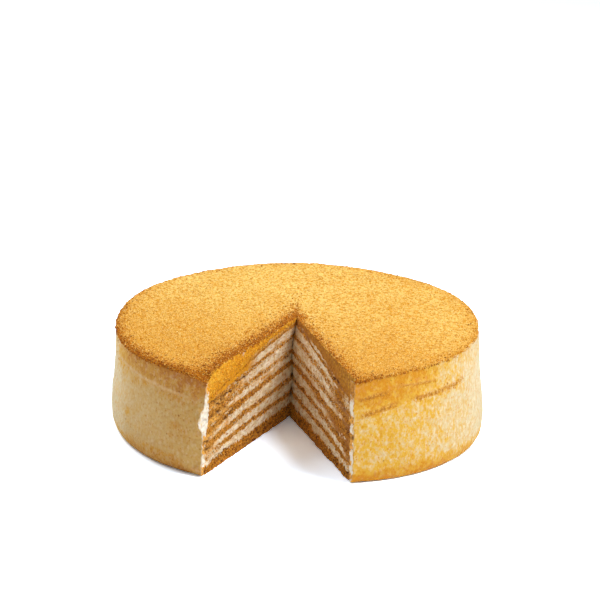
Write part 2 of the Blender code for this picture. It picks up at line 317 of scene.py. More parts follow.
def soft_light(name, azimuth, elevation, size, watts, colour=(1.0, 1.0, 1.0)):
    """A round soft light that looks at the cake. Azimuth 0 is the camera's side, 90 the right."""
    data = bpy.data.lights.new(name, "AREA")
    data.shape = "DISK"
    data.size = size
    data.energy = watts
    data.color = colour
    turn = math.radians(azimuth)
    rise = math.radians(elevation)
    level = math.cos(rise)
    towards = Vector((math.sin(turn) * level, -math.cos(turn) * level, math.sin(rise)))
    light = bpy.data.objects.new(name, data)
    light.location = AXIS + Vector((0, 0, CAKE_HEIGHT / 2)) + towards * LIGHT_DISTANCE
    light.rotation_euler = towards.to_track_quat("Z", "Y").to_euler()
    bpy.context.scene.collection.objects.link(light)
    return light


def white_surroundings():
    world = bpy.data.worlds.new("white_surroundings")
    bpy.context.scene.world = world
    world.use_nodes = True
    tree = world.node_tree
    tree.nodes.clear()
    path = node(tree, "ShaderNodeLightPath")
    strength = mapped(tree, path.outputs["Is Camera Ray"], 0.0, 1.0, FILL_STRENGTH, WHITE_TO_CAMERA)
    background = node(tree, "ShaderNodeBackground", {"Color": (1.0, 1.0, 1.0, 1.0), "Strength": strength})
    node(tree, "ShaderNodeOutputWorld", {"Surface": background.outputs[0]})


made_floor()
white_surroundings()
lights = [
    soft_light("key_light", 70, 58, 0.5, 10.9),
    soft_light("back_light", 232, 45, 0.7, 7.2),
    soft_light("front_light", 5, 20, 0.6, 0.85, WARM),
]
bpy.context.scene.view_settings.view_transform = "Standard"
bpy.context.scene.view_settings.look = "None"
print("lights:", [light.name for light in lights])

# %% [markdown]
# ## The cut
#
# A knife took an eighth of the cake. Its two faces meet in a line near the middle, which leans a
# little, and each face is a plane that leans a little too. A place on a face is given by how far it
# is from that line, its reach, and by its height. The same function roughens the face for every
# layer, so two layers that touch stay together where the knife has torn them. Holes and spots were
# read from the photograph, and their heights, spans and depths are in millimetres. A spot's share is
# how far out it lies on the face, from 0 at the tip to 1 at the coat.

# %% The two faces of the cut
TIP_FOOT = Vector((-2.6, 4.5)) * MM
TIP_TOP = Vector((0.3, 1.0)) * MM
CutSide = namedtuple("CutSide", "name foot top turn seed")
LEFT = CutSide("left", Vector((-48.1, -87.7)) * MM, Vector((-47.1, -88.8)) * MM, -1, 3.1)
RIGHT = CutSide("right", Vector((31.0, -91.5)) * MM, Vector((31.2, -92.7)) * MM, 1, 8.6)
CUT_PROUD = 0.6 * MM
CUT_ROUGHNESS = 0.55 * MM
CUT_LUMP = 6.0 * MM
TEAR = 0.28 * MM
TEAR_LUMP = 1.7 * MM
TEAR_MORE = 1.3
TEAR_MORE_FROM = (0.5, 0.85)
TIP_RAMP = 6.0 * MM
TIP_BEND = -1.4 * MM
TIP_BEND_HEIGHT = 41.0 * MM
TIP_BEND_SPAN = 13.0 * MM
SLIT_DEPTH = 1.5 * MM
SLIT_WIDTH = 0.42 * MM
SLIT_HEIGHTS = (20.0 * MM, 26.0 * MM)
# How dark the slit is painted, as shade.
SLIT_SHADE = 0.85
SLIT_UNEVEN = (0.8, 1.2)
SLIT_LUMP = 3 * MM
# How dark the holes are painted, as shade.
HOLE_SHADE = 1.5
TipHole = namedtuple("TipHole", "height reach_span height_span depth right_share")
TIP_HOLES = (
    TipHole(49.4, 1.5, 1.0, 1.2, 1.0),
    TipHole(33.0, 0.9, 0.8, 0.8, 1.0),
    TipHole(25.0, 2.6, 1.1, 1.5, 1.0),
    TipHole(14.6, 2.4, 2.8, 4.5, 0.25),
)
CRUMBLE_DEPTH = 1.0 * MM
CRUMBLE_MIDDLE = 0.8
CRUMBLE_SPAN = 0.3
CRUMBLE_BITES = 0.7
CRUMBLE_BITE_SIZE = 7.0 * MM
print("holes at the tip:", len(TIP_HOLES))

# %% Crevices between torn layers
Spot = namedtuple("Spot", "share height share_span height_span slant")
CREVICES = {
    "left": (
        Spot(0.9, 31.8, 0.1, 1.3, 0.0),
        Spot(0.8, 39.4, 0.15, 1.2, 0.02),
        Spot(0.6, 42.2, 0.07, 1.0, -0.06),
        Spot(0.97, 19.0, 0.04, 1.4, 0.0),
        Spot(0.96, 14.6, 0.04, 1.4, 0.0),
        Spot(0.8, 6.4, 0.1, 0.9, -0.03),
        Spot(0.74, 26.0, 0.08, 1.2, -0.2),
        Spot(0.88, 35.5, 0.08, 1.2, -0.2),
    ),
    "right": (
        Spot(0.98, 25.6, 0.06, 1.0, 0.0),
        Spot(0.9, 27.0, 0.06, 1.6, 0.0),
        Spot(0.96, 4.6, 0.05, 1.0, 0.0),
        Spot(0.49, 41.3, 0.02, 0.8, 0.0),
        Spot(0.76, 48.2, 0.09, 0.9, -0.1),
        Spot(0.82, 38.0, 0.07, 1.4, -0.1),
        Spot(0.7, 34.0, 0.06, 1.2, -0.1),
        Spot(0.8, 19.0, 0.08, 1.2, -0.15),
    ),
}
CHUNK = Vector((2.6, 1.5)) * MM
CREVICE_DEPTH = 0.9 * MM
CREVICE_FILLED = (0.6, 2.2)
print("crevices:", {side: len(spots) for side, spots in CREVICES.items()})


# %% Where the torn faces lie
def cut_line(side, height):
    """The face's line at one height: its tip, its direction, the way into the cake, its length."""
    share = height / CAKE_HEIGHT
    tip = TIP_FOOT.lerp(TIP_TOP, share)
    tip.x += TIP_BEND * math.exp(-(((height - TIP_BEND_HEIGHT) / TIP_BEND_SPAN) ** 2))
    edge = side.foot.lerp(side.top, share) - tip
    along = edge.normalized()
    into = Vector((-along.y, along.x)) * side.turn
    return tip, along, into, edge.length


def crumbled(reach_share, height):
    """How far the crust's face has crumbled back on the left of the cut."""
    start = droop_face(CRUST_UNDERSIDE)(min(reach_share, 1.0) * CORE_RADIUS)
    rise = min(max((height - start) / (CAKE_HEIGHT - start), 0.0), 1.0)
    away = (reach_share - CRUMBLE_MIDDLE) / CRUMBLE_SPAN
    bite = Vector((reach_share * CAKE_RADIUS / CRUMBLE_BITE_SIZE, 3 * rise, 5.5))
    bites = 1 + CRUMBLE_BITES * noise.noise(bite)
    return CRUMBLE_DEPTH * rise * math.exp(-(away**2)) * bites


def tip_slit(side, reach, height):
    """The slit and the holes that the knife's point left at the tip: how deep, and how much painted shade
    darkens them.
    """
    least, swing = SLIT_UNEVEN
    uneven = max(0.0, least + swing * noise.noise(Vector((height / SLIT_LUMP, 7.7, 0.0))))
    slit = math.exp(-((reach / SLIT_WIDTH) ** 2)) * uneven * soft_step(height, *SLIT_HEIGHTS)
    depth = SLIT_DEPTH * slit
    # Painted shade inside the slit and the holes, kept as the mark `dark`.
    dark = SLIT_SHADE * slit
    for hole in TIP_HOLES:
        across = reach / (hole.reach_span * MM)
        up = (height - hole.height * MM) / (hole.height_span * MM)
        share = math.exp(-(across**2) - up**2)
        depth += hole.depth * MM * share
        dark += HOLE_SHADE * share * (hole.right_share if side is RIGHT else 1.0)
    return depth, min(dark, 1.0)


def near_spot(spot, share, height, power=2):
    """How near a place on the cut is to a spot, from 0 to 1."""
    across = (share - spot.share) / spot.share_span
    slanted = spot.slant * (share - spot.share) * CAKE_RADIUS
    up = (height - spot.height * MM - slanted) / (spot.height_span * MM)
    return math.exp(-(across**power) - up**2)


def crevice(side, share, height):
    """The crevices between torn layers, from 0 to 1. They are dug into the face and darkened there with
    painted shade.
    """
    total = sum(near_spot(spot, share, height, 4) for spot in CREVICES[side.name])
    chunks = noise.noise(Vector((share * CAKE_RADIUS / CHUNK.x, height / CHUNK.y, side.seed)))
    least, swing = CREVICE_FILLED
    return min(max(total * (least + swing * chunks), 0.0), 1.0)


def cut_offset(side, reach, height, length):
    """How far into the cake the torn face lies from the knife's plane."""
    share = reach / length
    lump = Vector((reach / CUT_LUMP, height / CUT_LUMP, side.seed))
    tear = Vector((reach / TEAR_LUMP, height / TEAR_LUMP, side.seed + 5))
    torn = TEAR * (1 + TEAR_MORE * soft_step(share, *TEAR_MORE_FROM))
    offset = -CUT_PROUD + CUT_ROUGHNESS * noise.noise(lump) + torn * noise.noise(tear)
    offset += CREVICE_DEPTH * crevice(side, share, height)
    offset *= min(reach / TIP_RAMP, 1.0)
    if side is LEFT:
        offset += crumbled(share, height)
    return offset


def cut_place(side, reach, height):
    """Where a point of the torn face lies."""
    tip, along, into, length = cut_line(side, height)
    place = tip + along * reach + into * cut_offset(side, reach, height, length)
    place.y += tip_slit(side, reach, height)[0]
    return Vector((place.x, place.y, height))


def cut_normal(side, height):
    """The way out of the cake, from a face into the missing slice."""
    into = cut_line(side, height)[2]
    return Vector((-into.x, -into.y, 0.0))


def height_on_cut(side, reach, face):
    """The height at which a face between two layers meets the cut, and its radius there."""
    height = face(reach)
    for _ in range(SETTLE_ROUNDS):
        place = cut_place(side, reach, height)
        height, radius = settled_over(place.x, place.y, face)
    return height, radius


def reach_at_radius(side, radius, face):
    """How far from the tip a face between two layers ends on the cut."""
    reach = radius
    for _ in range(REACH_ROUNDS):
        reach += radius - height_on_cut(side, reach, face)[1]
    return reach


def ring_on_cut(side, ring):
    """Where a ring round the cake, a function from an angle to (radius, height), meets the cut."""
    angle = math.atan2(side.top.y, side.top.x)
    for _ in range(RING_ROUNDS):
        radius, ideal = ring(angle)
        place = settled(polar(angle, radius, ideal))
        height = place.z
        tip, along, into, length = cut_line(side, height)
        reach = (place.xy - tip).dot(along)
        away = (place.xy - tip).dot(into)
        angle += side.turn * (cut_offset(side, reach, height, length) - away) / radius
    return angle, reach, height


for side in (LEFT, RIGHT):
    reach = reach_at_radius(side, CORE_RADIUS, droop_face(BASE_TOP))
    print(side.name, "face of the cut reaches", round(reach / MM, 1), "mm from the tip to the coat")

# %% [markdown]
# ## Sewing a closed piece together
#
# Every piece of the cake is closed, so that it has an inside and an outside. The easy way would be
# to cut a finished disc with a Boolean, but its faces would be long thin triangles that can't be
# roughened. Instead the rims of each piece are laid down as points first, and the faces between
# them are filled with evenly spaced points by a triangulation in the plane.

# %% A piece that collects its points and faces
FILL_TOLERANCE = 1e-7
MARKS = (
    "tear", "reach", "height", "depth", "side", "cut", "up", "toast", "stain", "smudge", "smear", "lap",
    "dark", "loose",
)


class Shell:
    """The points and faces of one closed piece, with the marks that its surface carries."""

    def __init__(self):
        self.points = []
        self.outs = []
        self.faces = []
        self.marks = {name: [] for name in MARKS}

    def point(self, place, out=(0.0, 0.0, 0.0), **marks):
        """Adds a point, given round the cake's axis. `out` is the way in which tearing moves it."""
        self.points.append(Vector(place))
        self.outs.append(Vector(out))
        for name in MARKS:
            self.marks[name].append(marks.get(name, 0.0))
        return len(self.points) - 1

    def patch(self, loop, flat, inner=(), lift=None):
        """Fills a loop of points. `flat` gives their places in a plane, `inner` more places in it."""
        count = len(loop)
        edges = [(i, (i + 1) % count) for i in range(count)]
        places = [Vector(place) for place in [*flat, *inner]]
        found = geometry.delaunay_2d_cdt(places, edges, [], 1, FILL_TOLERANCE)
        numbers = []
        for sources in found[3]:
            first = min(sources)
            numbers.append(loop[first] if first < count else lift(first - count))
        self.faces.extend([numbers[i] for i in triangle] for triangle in found[2])

    def band(self, lower, upper):
        """Fills the strip between two rows of points, which may differ in number."""
        i = 0
        j = 0
        while i < len(lower) - 1 or j < len(upper) - 1:
            next_lower = (i + 1) / (len(lower) - 1)
            next_upper = (j + 1) / (len(upper) - 1)
            if next_lower <= next_upper:
                self.faces.append((lower[i], lower[i + 1], upper[j]))
                i += 1
            else:
                self.faces.append((lower[i], upper[j + 1], upper[j]))
                j += 1

    def piece(self, name, material):
        """The finished mesh object, closed, with its faces pointing outwards."""
        mesh = bpy.data.meshes.new(name)
        mesh.from_pydata([place + AXIS for place in self.points], [], self.faces)
        for mark, values in self.marks.items():
            mesh.attributes.new(mark, "FLOAT", "POINT").data.foreach_set("value", values)
        flat = [value for out in self.outs for value in out]
        mesh.attributes.new("out", "FLOAT_VECTOR", "POINT").data.foreach_set("vector", flat)
        bm = bmesh.new()
        bm.from_mesh(mesh)
        bmesh.ops.recalc_face_normals(bm, faces=bm.faces)
        open_edges = sum(1 for edge in bm.edges if len(edge.link_faces) != 2)
        bm.to_mesh(mesh)
        bm.free()
        mesh.shade_smooth()
        mesh.materials.append(material)
        obj = bpy.data.objects.new(name, mesh)
        bpy.context.scene.collection.objects.link(obj)
        print(f"{name}: {len(mesh.polygons)} triangles, {open_edges} open edges")
        return obj


# %% Evenly spaced places inside a loop
FILL_SHAKE = 0.2
FILL_MARGIN = 0.6


def steps(start, end, spacing):
    """Values from start to end, both included, about `spacing` apart."""
    count = max(1, round(abs(end - start) / spacing))
    return [start + (end - start) * i / count for i in range(count + 1)]


def crossings(flat, x):
    """The heights at which a vertical line crosses a closed loop, from the lowest up."""
    heights = []
    for (x0, y0), (x1, y1) in zip(flat, [*flat[1:], flat[0]]):
        if (x0 <= x) != (x1 <= x):
            heights.append(y0 + (y1 - y0) * (x - x0) / (x1 - x0))
    return sorted(heights)


def filled(flat, spacing, draw):
    """Places inside a loop, each with its distance from the edge and its share of the way up."""
    low = min(place[0] for place in flat)
    high = max(place[0] for place in flat)
    shake = FILL_SHAKE * spacing
    margin = FILL_MARGIN * spacing
    found = []
    for column, x in enumerate(steps(low, high, spacing * math.sqrt(3) / 2)[1:-1]):
        levels = crossings(flat, x)
        for bottom, top in zip(levels[::2], levels[1::2]):
            y = bottom + margin + (column % 2) * spacing / 2
            while y < top - margin:
                place = (x + draw.uniform(-shake, shake), y + draw.uniform(-shake, shake))
                away = max(0.0, min(x - low, high - x, y - bottom, top - y))
                found.append((place, away, (y - bottom) / (top - bottom)))
                y += spacing
    return found


# %% [markdown]
# ## Shader groups that the finishes share
#
# Crumbs, sponge and stained cream all come from the same baking, so their finishes share a few
# effects: a fine grain, small specks and soft blotches. Each effect is a node group with named
# sizes. A group gives masks and heights only, and the shader itself stays in each material.

# %% Groups for grain, specks and blotches
def new_group(name, numbers, outputs):
    """A shader group that reads a place and some numbers, each with its usual value."""
    group = bpy.data.node_groups.new(name, "ShaderNodeTree")
    group.interface.new_socket("Vector", in_out="INPUT", socket_type="NodeSocketVector")
    for socket, value in numbers.items():
        made = group.interface.new_socket(socket, in_out="INPUT", socket_type="NodeSocketFloat")
        made.default_value = value
    for socket in outputs:
        group.interface.new_socket(socket, in_out="OUTPUT", socket_type="NodeSocketFloat")
    return group, node(group, "NodeGroupInput").outputs


def at_size(tree, given, size):
    """What a texture node needs to draw features of one of the group's sizes."""
    return {"Vector": given["Vector"], "Scale": maths(tree, "DIVIDE", 1.0, given[size])}


def grain_group():
    """Fine grain: `Tone` is even from 0 to 1, `Pits` marks the small dark hollows."""
    tree, given = new_group("grain", {"Size": MM, "Depth": 0.5}, ["Tone", "Pits", "Height"])
    place = at_size(tree, given, "Size")
    fine = node(tree, "ShaderNodeTexNoise", {**place, "Detail": 3.0, "Roughness": 0.6})
    cells = node(tree, "ShaderNodeTexVoronoi", {**place, "Randomness": 1.0}, feature="F1")
    tone = mapped(tree, fine.outputs["Fac"], 0.3, 0.7)
    pits = mapped(tree, cells.outputs["Distance"], 0.45, 0.85)
    height = maths(tree, "SUBTRACT", tone, maths(tree, "MULTIPLY", pits, given["Depth"]))
    node(tree, "NodeGroupOutput", {"Tone": tone, "Pits": pits, "Height": height})
    return tree


def speck_group():
    """Small separate specks. `Amount` is the share of cells that hold one."""
    tree, given = new_group("specks", {"Spacing": 2 * MM, "Amount": 0.3, "Fullness": 0.3}, ["Mask"])
    values = {**at_size(tree, given, "Spacing"), "Randomness": 0.9}
    cells = node(tree, "ShaderNodeTexVoronoi", values, feature="F1")
    chosen = node(tree, "ShaderNodeSeparateColor", {"Color": cells.outputs["Color"]})
    holds = maths(tree, "LESS_THAN", chosen.outputs["Red"], given["Amount"])
    size = maths(tree, "MULTIPLY", given["Fullness"], chosen.outputs["Green"])
    near = maths(tree, "DIVIDE", maths(tree, "SUBTRACT", size, cells.outputs["Distance"]), 0.1)
    near_clamped = node(tree, "ShaderNodeClamp", {"Value": near})
    mask = maths(tree, "MULTIPLY", holds, near_clamped.outputs[0])
    node(tree, "NodeGroupOutput", {"Mask": mask})
    return tree


def blotch_group():
    """Soft uneven blotches, from 0 to 1 between the two levels of a noise."""
    numbers = {"Size": 20 * MM, "Low": 0.4, "High": 0.6, "Detail": 3.0}
    tree, given = new_group("blotches", numbers, ["Mask"])
    values = {**at_size(tree, given, "Size"), "Detail": given["Detail"], "Roughness": 0.55}
    cloud = node(tree, "ShaderNodeTexNoise", values).outputs["Fac"]
    mask = mapped(tree, cloud, given["Low"], given["High"], interpolation_type="SMOOTHSTEP")
    node(tree, "NodeGroupOutput", {"Mask": mask})
    return tree


GRAIN = grain_group()
SPECKS = speck_group()
BLOTCHES = blotch_group()
print("shader groups:", [group.name for group in (GRAIN, SPECKS, BLOTCHES)])

# %% [markdown]
# ## A material's skeleton
#
# Each finish starts from the same skeleton: Object coordinates centred on the cake's axis, a
# Principled shader with its fixed numbers set on its own sockets, and a Bump for what is finer than
# the mesh. A small class keeps the steps readable: each step mixes a colour over the last one.

# %% The skeleton of a finish
DULL = 0.3
GLOW = (1.0, 0.6, 0.3)
GLOW_DEPTH = 1.5 * MM


class Finish:
    """Builds one material, colour over colour."""

    def __init__(self, name, colour, roughness, subsurface=0.0):
        self.material = bpy.data.materials.new(name)
        self.material.use_nodes = True
        self.tree = self.material.node_tree
        self.shader = self.tree.nodes["Principled BSDF"]
        self.shader.inputs["Roughness"].default_value = roughness
        self.shader.inputs["Specular IOR Level"].default_value = DULL
        self.shader.inputs["Subsurface Weight"].default_value = subsurface
        self.shader.inputs["Subsurface Radius"].default_value = GLOW
        self.shader.inputs["Subsurface Scale"].default_value = GLOW_DEPTH
        place = node(self.tree, "ShaderNodeTexCoord").outputs["Object"]
        centred = {"Vector": place, "Location": tuple(-AXIS)}
        self.place = node(self.tree, "ShaderNodeMapping", centred).outputs[0]
        self.colour = colour
        self.heights = None

    def mark(self, name):
        return node(self.tree, "ShaderNodeAttribute", attribute_name=name).outputs["Fac"]

    def group(self, tree, output, vector=None, **values):
        """Places a shader group. `values` fills its inputs, named without their capital."""
        inputs = {name.capitalize(): value for name, value in values.items()}
        inputs["Vector"] = vector or self.place
        made = self.tree.nodes.new("ShaderNodeGroup")
        made.node_tree = tree
        fill(self.tree, made, inputs)
        return made.outputs[output]

    def grain(self, output, size):
        return self.group(GRAIN, output, size=size * MM)

    def specks(self, spacing, amount, fullness):
        return self.group(SPECKS, "Mask", spacing=spacing * MM, amount=amount, fullness=fullness)

    def blotches(self, size, low, high, detail=3.0, vector=None):
        return self.group(BLOTCHES, "Mask", vector, size=size * MM, low=low, high=high, detail=detail)

    def along_cut(self, stretch):
        """Coordinates in the cut face, drawn out along the layers."""
        reach = maths(self.tree, "MULTIPLY", self.mark("reach"), CAKE_RADIUS / stretch)
        place = {"X": reach, "Y": self.mark("side"), "Z": self.mark("height")}
        return node(self.tree, "ShaderNodeCombineXYZ", place).outputs[0]

    def stretched(self, scale):
        """Coordinates that are squeezed, so that what reads them is drawn out."""
        return node(self.tree, "ShaderNodeMapping", {"Vector": self.place, "Scale": scale}).outputs[0]

    def between(self, value, low, high, start=0.0, end=1.0):
        return mapped(self.tree, value, low, high, start, end)

    def spread(self, mask, start, end):
        """Carries a mask from the range 0 to 1 over to the range start to end."""
        return self.between(mask, 0.0, 1.0, start, end)

    def in_shade(self):
        """1 on the face of the cut that looks left and lies in shade, 0 on the other."""
        return self.between(self.mark("side"), 0.0, 1.0)

    def times(self, first, *others):
        for other in others:
            first = maths(self.tree, "MULTIPLY", first, other)
        return first

    def over(self, colour, *masks):
        """Lays a colour over what there is, where all the masks say."""
        self.colour = self.blend(self.colour, colour, self.times(*masks))

    def blend(self, first, second, mask):
        colours = {0: mask, 6: first, 7: second}
        return node(self.tree, "ShaderNodeMix", colours, data_type="RGBA").outputs[2]

    def raised(self, height, amount):
        """Adds a height, in metres, to the relief that is finer than the mesh."""
        part = maths(self.tree, "MULTIPLY", height, amount)
        self.heights = part if self.heights is None else maths(self.tree, "ADD", self.heights, part)

    def done(self):
        self.tree.links.new(self.colour, self.shader.inputs["Base Color"])
        if self.heights is not None:
            values = {"Height": self.heights, "Distance": 1.0, "Strength": 1.0}
            bump = node(self.tree, "ShaderNodeBump", values)
            self.tree.links.new(bump.outputs[0], self.shader.inputs["Normal"])
        return self.material


# %% [markdown]
# ## Sponge and cream
#
# Honey sponge is baked brown right through, and the knife opens its pores, which look almost black.
# The cream is off-white and takes on crumbs from the sponge, most of all near the rim, where the
# layers are pressed thin and the cream has soaked in.

# %% Colours of sponge and cream
SPONGE_LIGHT = paint(226, 158, 48)
SPONGE_MID = paint(196, 124, 22)
SPONGE_DARK = paint(142, 78, 8)
SPONGE_PORE = paint(84, 40, 6)
CREAM_WHITE = paint(246, 232, 206)
CREAM_WARM = paint(224, 196, 150)
CREAM_SMEARED = paint(222, 168, 92)
CREAM_STAINED = paint(196, 150, 90)
CRUMB_MASS = paint(240, 176, 78)
CRUST_CUT = paint(242, 172, 30)
CRUST_CUT_DEEP = paint(206, 130, 18)
CRUST_CUT_SHADED = paint(182, 120, 40)
# How strongly painted shade darkens the crevices and the slit and holes at the tip.
HOLLOW_SHADE = 0.85


def mass_over(finish, amount):
    """Lays the torn brown mass of crumbs and cream over a finish: lumps, light and dark, and pores."""
    finish.over(CRUMB_MASS, amount)
    light = finish.blotches(2.4, 0.52, 0.6, 4.0, finish.along_cut(1.8))
    finish.over(CREAM_SMEARED, amount, light, 0.8)
    lumps = finish.blotches(2.8, 0.53, 0.63, 5.0)
    finish.over(SPONGE_MID, amount, lumps)
    darker = finish.blotches(1.9, 0.58, 0.68, 5.0)
    finish.over(SPONGE_DARK, amount, darker, 0.7)
    finish.over(SPONGE_PORE, amount, finish.grain("Pits", 1.3), 0.6)
    shaded = finish.in_shade()
    finish.over(SPONGE_DARK, amount, shaded, 0.74)


def crumbs_and_hollow_shade_over(finish):
    """Crumbs of the crust that cover a layer, and painted shade inside crevices and in the slit and holes
    at the tip.
    """
    grain = finish.grain("Tone", 1.5)
    finish.over(finish.blend(CRUST_CUT_DEEP, CRUST_CUT, grain), finish.mark("toast"))
    # Painted shade in crevices and at the tip.
    finish.over(SPONGE_PORE, finish.mark("dark"), HOLLOW_SHADE)


def sponge_finish():
    finish = Finish("honey_sponge", SPONGE_MID, 0.9)
    finish.over(SPONGE_LIGHT, finish.grain("Tone", 1.1))
    finish.over(SPONGE_DARK, finish.blotches(2.2, 0.5, 0.62, 4.0))
    pits = finish.grain("Pits", 1.2)
    finish.over(SPONGE_PORE, pits, 0.8)
    mass_over(finish, finish.times(finish.mark("smudge"), 0.8))
    smeared = finish.blotches(1.3, 0.42, 0.6, vector=finish.along_cut(3.0))
    dragged = finish.times(finish.mark("smear"), finish.spread(smeared, 0.6, 1.6))
    finish.over(CREAM_WARM, finish.between(dragged, 0.3, 0.6))
    crumbs_and_hollow_shade_over(finish)
    finish.raised(finish.grain("Height", 0.6), 0.25 * MM)
    return finish.done()


def cream_finish():
    finish = Finish("cream_filling", CREAM_WHITE, 0.55, subsurface=0.15)
    finish.over(CREAM_WARM, finish.blotches(4, 0.4, 0.66))
    dragged = finish.blotches(1.0, 0.5, 0.62, 4.0, finish.along_cut(3.5))
    finish.over(CREAM_STAINED, dragged, 0.75)
    from_middle = maths(finish.tree, "ABSOLUTE", maths(finish.tree, "SUBTRACT", finish.mark("depth"), 0.5))
    edges = finish.blotches(1.3, 0.42, 0.56, 4.0)
    finish.over(SPONGE_LIGHT, finish.between(from_middle, 0.3, 0.5), edges)
    specks = finish.specks(1.4, 0.46, 0.44)
    finish.over(SPONGE_MID, specks, 0.8)
    finish.over(SPONGE_DARK, finish.specks(1.9, 0.22, 0.34))
    patches = finish.blotches(2.6, 0.32, 0.46, 5.0, finish.along_cut(2.0))
    mass_over(finish, finish.times(finish.mark("smudge"), patches))
    crumbs_and_hollow_shade_over(finish)
    finish.raised(finish.grain("Height", 0.9), 0.16 * MM)
    return finish.done()


sponge_material = sponge_finish()
cream_material = cream_finish()
print("finishes:", sponge_material.name, cream_material.name)

# %% [markdown]
# ## Tearing the cut face
#
# The points of the cut are about 0.4 mm apart, close enough to carry the pores of the sponge and the
# soft lumps of the cream as real shape. The tearing follows a rule, so a Geometry Nodes tree does it:
# it moves each point out of the cut or into it by a noise, and digs round pores. The mark `tear` is
# 0 where two layers meet, so the layers stay joined there.

# %% Helpers for shape trees
def new_shape_tree(name, inputs):
    tree = bpy.data.node_groups.new(name, "GeometryNodeTree")
    tree.interface.new_socket("Geometry", in_out="INPUT", socket_type="NodeSocketGeometry")
    for socket, kind in inputs:
        tree.interface.new_socket(socket, in_out="INPUT", socket_type=kind)
    tree.interface.new_socket("Geometry", in_out="OUTPUT", socket_type="NodeSocketGeometry")
    return tree, node(tree, "NodeGroupInput").outputs


def named(tree, name, kind="FLOAT"):
    made = node(tree, "GeometryNodeInputNamedAttribute", {"Name": name}, data_type=kind)
    return made.outputs["Attribute"]


def scaled(tree, vector, factor):
    return node(tree, "ShaderNodeVectorMath", {0: vector, "Scale": factor}, operation="SCALE").outputs[0]


def end_shape_tree(tree, given, shape):
    """Ends a tree: what it made becomes real mesh and gets its finish."""
    real = node(tree, "GeometryNodeRealizeInstances", {0: shape}).outputs[0]
    values = {"Geometry": real, "Material": given["Finish"]}
    node(tree, "NodeGroupOutput", {0: node(tree, "GeometryNodeSetMaterial", values).outputs[0]})
    return tree


def run_tree(obj, tree, **inputs):
    """Runs a shape tree on an object and keeps the result as its plain mesh."""
    modifier = obj.modifiers.new(tree.name, "NODES")
    modifier.node_group = tree
    items = tree.interface.items_tree
    sockets = {item.name: item.identifier for item in items if item.in_out == "INPUT"}
    for name, value in inputs.items():
        modifier[sockets[name.replace("_", " ")]] = value
    bpy.context.view_layer.update()
    graph = bpy.context.evaluated_depsgraph_get()
    mesh = bpy.data.meshes.new_from_object(obj.evaluated_get(graph))
    obj.modifiers.remove(modifier)
    obj.data = mesh
    mesh.name = obj.name
    return obj


# %% The tearing tree
TEAR_SIZES = ("Lump Height", "Lump Size", "Pore Depth", "Pore Size")
PORE_EDGE = (0.45, 0.1)


def tearing_tree():
    inputs = [(name, "NodeSocketFloat") for name in (*TEAR_SIZES, "Seed")]
    tree, given = new_shape_tree("torn_face", [*inputs, ("Finish", "NodeSocketMaterial")])
    place = {"Vector": node(tree, "GeometryNodeInputPosition").outputs[0], "W": given["Seed"]}
    lump_scale = maths(tree, "DIVIDE", 1.0, given["Lump Size"])
    values = {**place, "Scale": lump_scale, "Detail": 3.0, "Roughness": 0.6}
    lumps = node(tree, "ShaderNodeTexNoise", values, noise_dimensions="4D")
    swing = maths(tree, "MULTIPLY", maths(tree, "SUBTRACT", lumps.outputs[0], 0.5), 2.0)
    values = {**place, "Scale": maths(tree, "DIVIDE", 1.0, given["Pore Size"]), "Randomness": 1.0}
    cells = node(tree, "ShaderNodeTexVoronoi", values, voronoi_dimensions="4D", feature="F1")
    pore = mapped(tree, cells.outputs["Distance"], *PORE_EDGE, interpolation_type="SMOOTHSTEP")
    raised = maths(tree, "MULTIPLY", swing, given["Lump Height"])
    dug = maths(tree, "MULTIPLY", pore, given["Pore Depth"])
    change = maths(tree, "MULTIPLY", maths(tree, "SUBTRACT", raised, dug), named(tree, "tear"))
    offset = scaled(tree, named(tree, "out", "FLOAT_VECTOR"), change)
    moved = node(tree, "GeometryNodeSetPosition", {"Geometry": given["Geometry"], "Offset": offset})
    return end_shape_tree(tree, given, moved.outputs[0])


TORN_FACE = tearing_tree()


def tearing(lump_height, lump_size, pore_depth, pore_size):
    """How one food tears: the tree's four sizes, given in millimetres."""
    sizes = (lump_height, lump_size, pore_depth, pore_size)
    return {name.replace(" ", "_"): size * MM for name, size in zip(TEAR_SIZES, sizes)}


SPONGE_TEAR = tearing(0.35, 1.3, 0.5, 1.6)
CREAM_TEAR = tearing(0.3, 2.6, 0.1, 2.0)
COAT_TEAR = tearing(0.5, 3.5, 0.1, 2.5)
CRUST_TEAR = tearing(0.3, 2.0, 0.25, 1.2)
print("nodes in the tearing tree:", len(TORN_FACE.nodes))

# %% [markdown]
# ## The lines between the layers
#
# First the lines between the layers are worked out on both faces of the cut, from the tip to the
# rim. Neighbours use the same line, so no gap shows between them. The knife drags crumbs along, so
# each line is made ragged, by less where a layer is thin.

# %% Lines between the layers
FACE_SPACING = 0.4 * MM
RAGGED = 0.95 * MM
RAGGED_LENGTH = 1.3 * MM
RAGGED_LONG = 5.0 * MM
RAGGED_MOST = 0.34
BASE_RAGGED = 1.9

layer_faces = [droop_face(BASE_TOP)]
for sponge in THIN_SPONGES:
    layer_faces += [sponge_face(sponge, -1), sponge_face(sponge, 1)]
layer_faces.append(droop_face(CRUST_UNDERSIDE))


def ragged(side, number, reach):
    """How a line between two layers wanders up and down, from about -1 to 1."""
    quick = noise.noise(Vector((reach / RAGGED_LENGTH, 9.3 * number, side.seed)))
    slow = noise.noise(Vector((reach / RAGGED_LONG, 4.9 * number, side.seed + 20)))
    return quick + slow


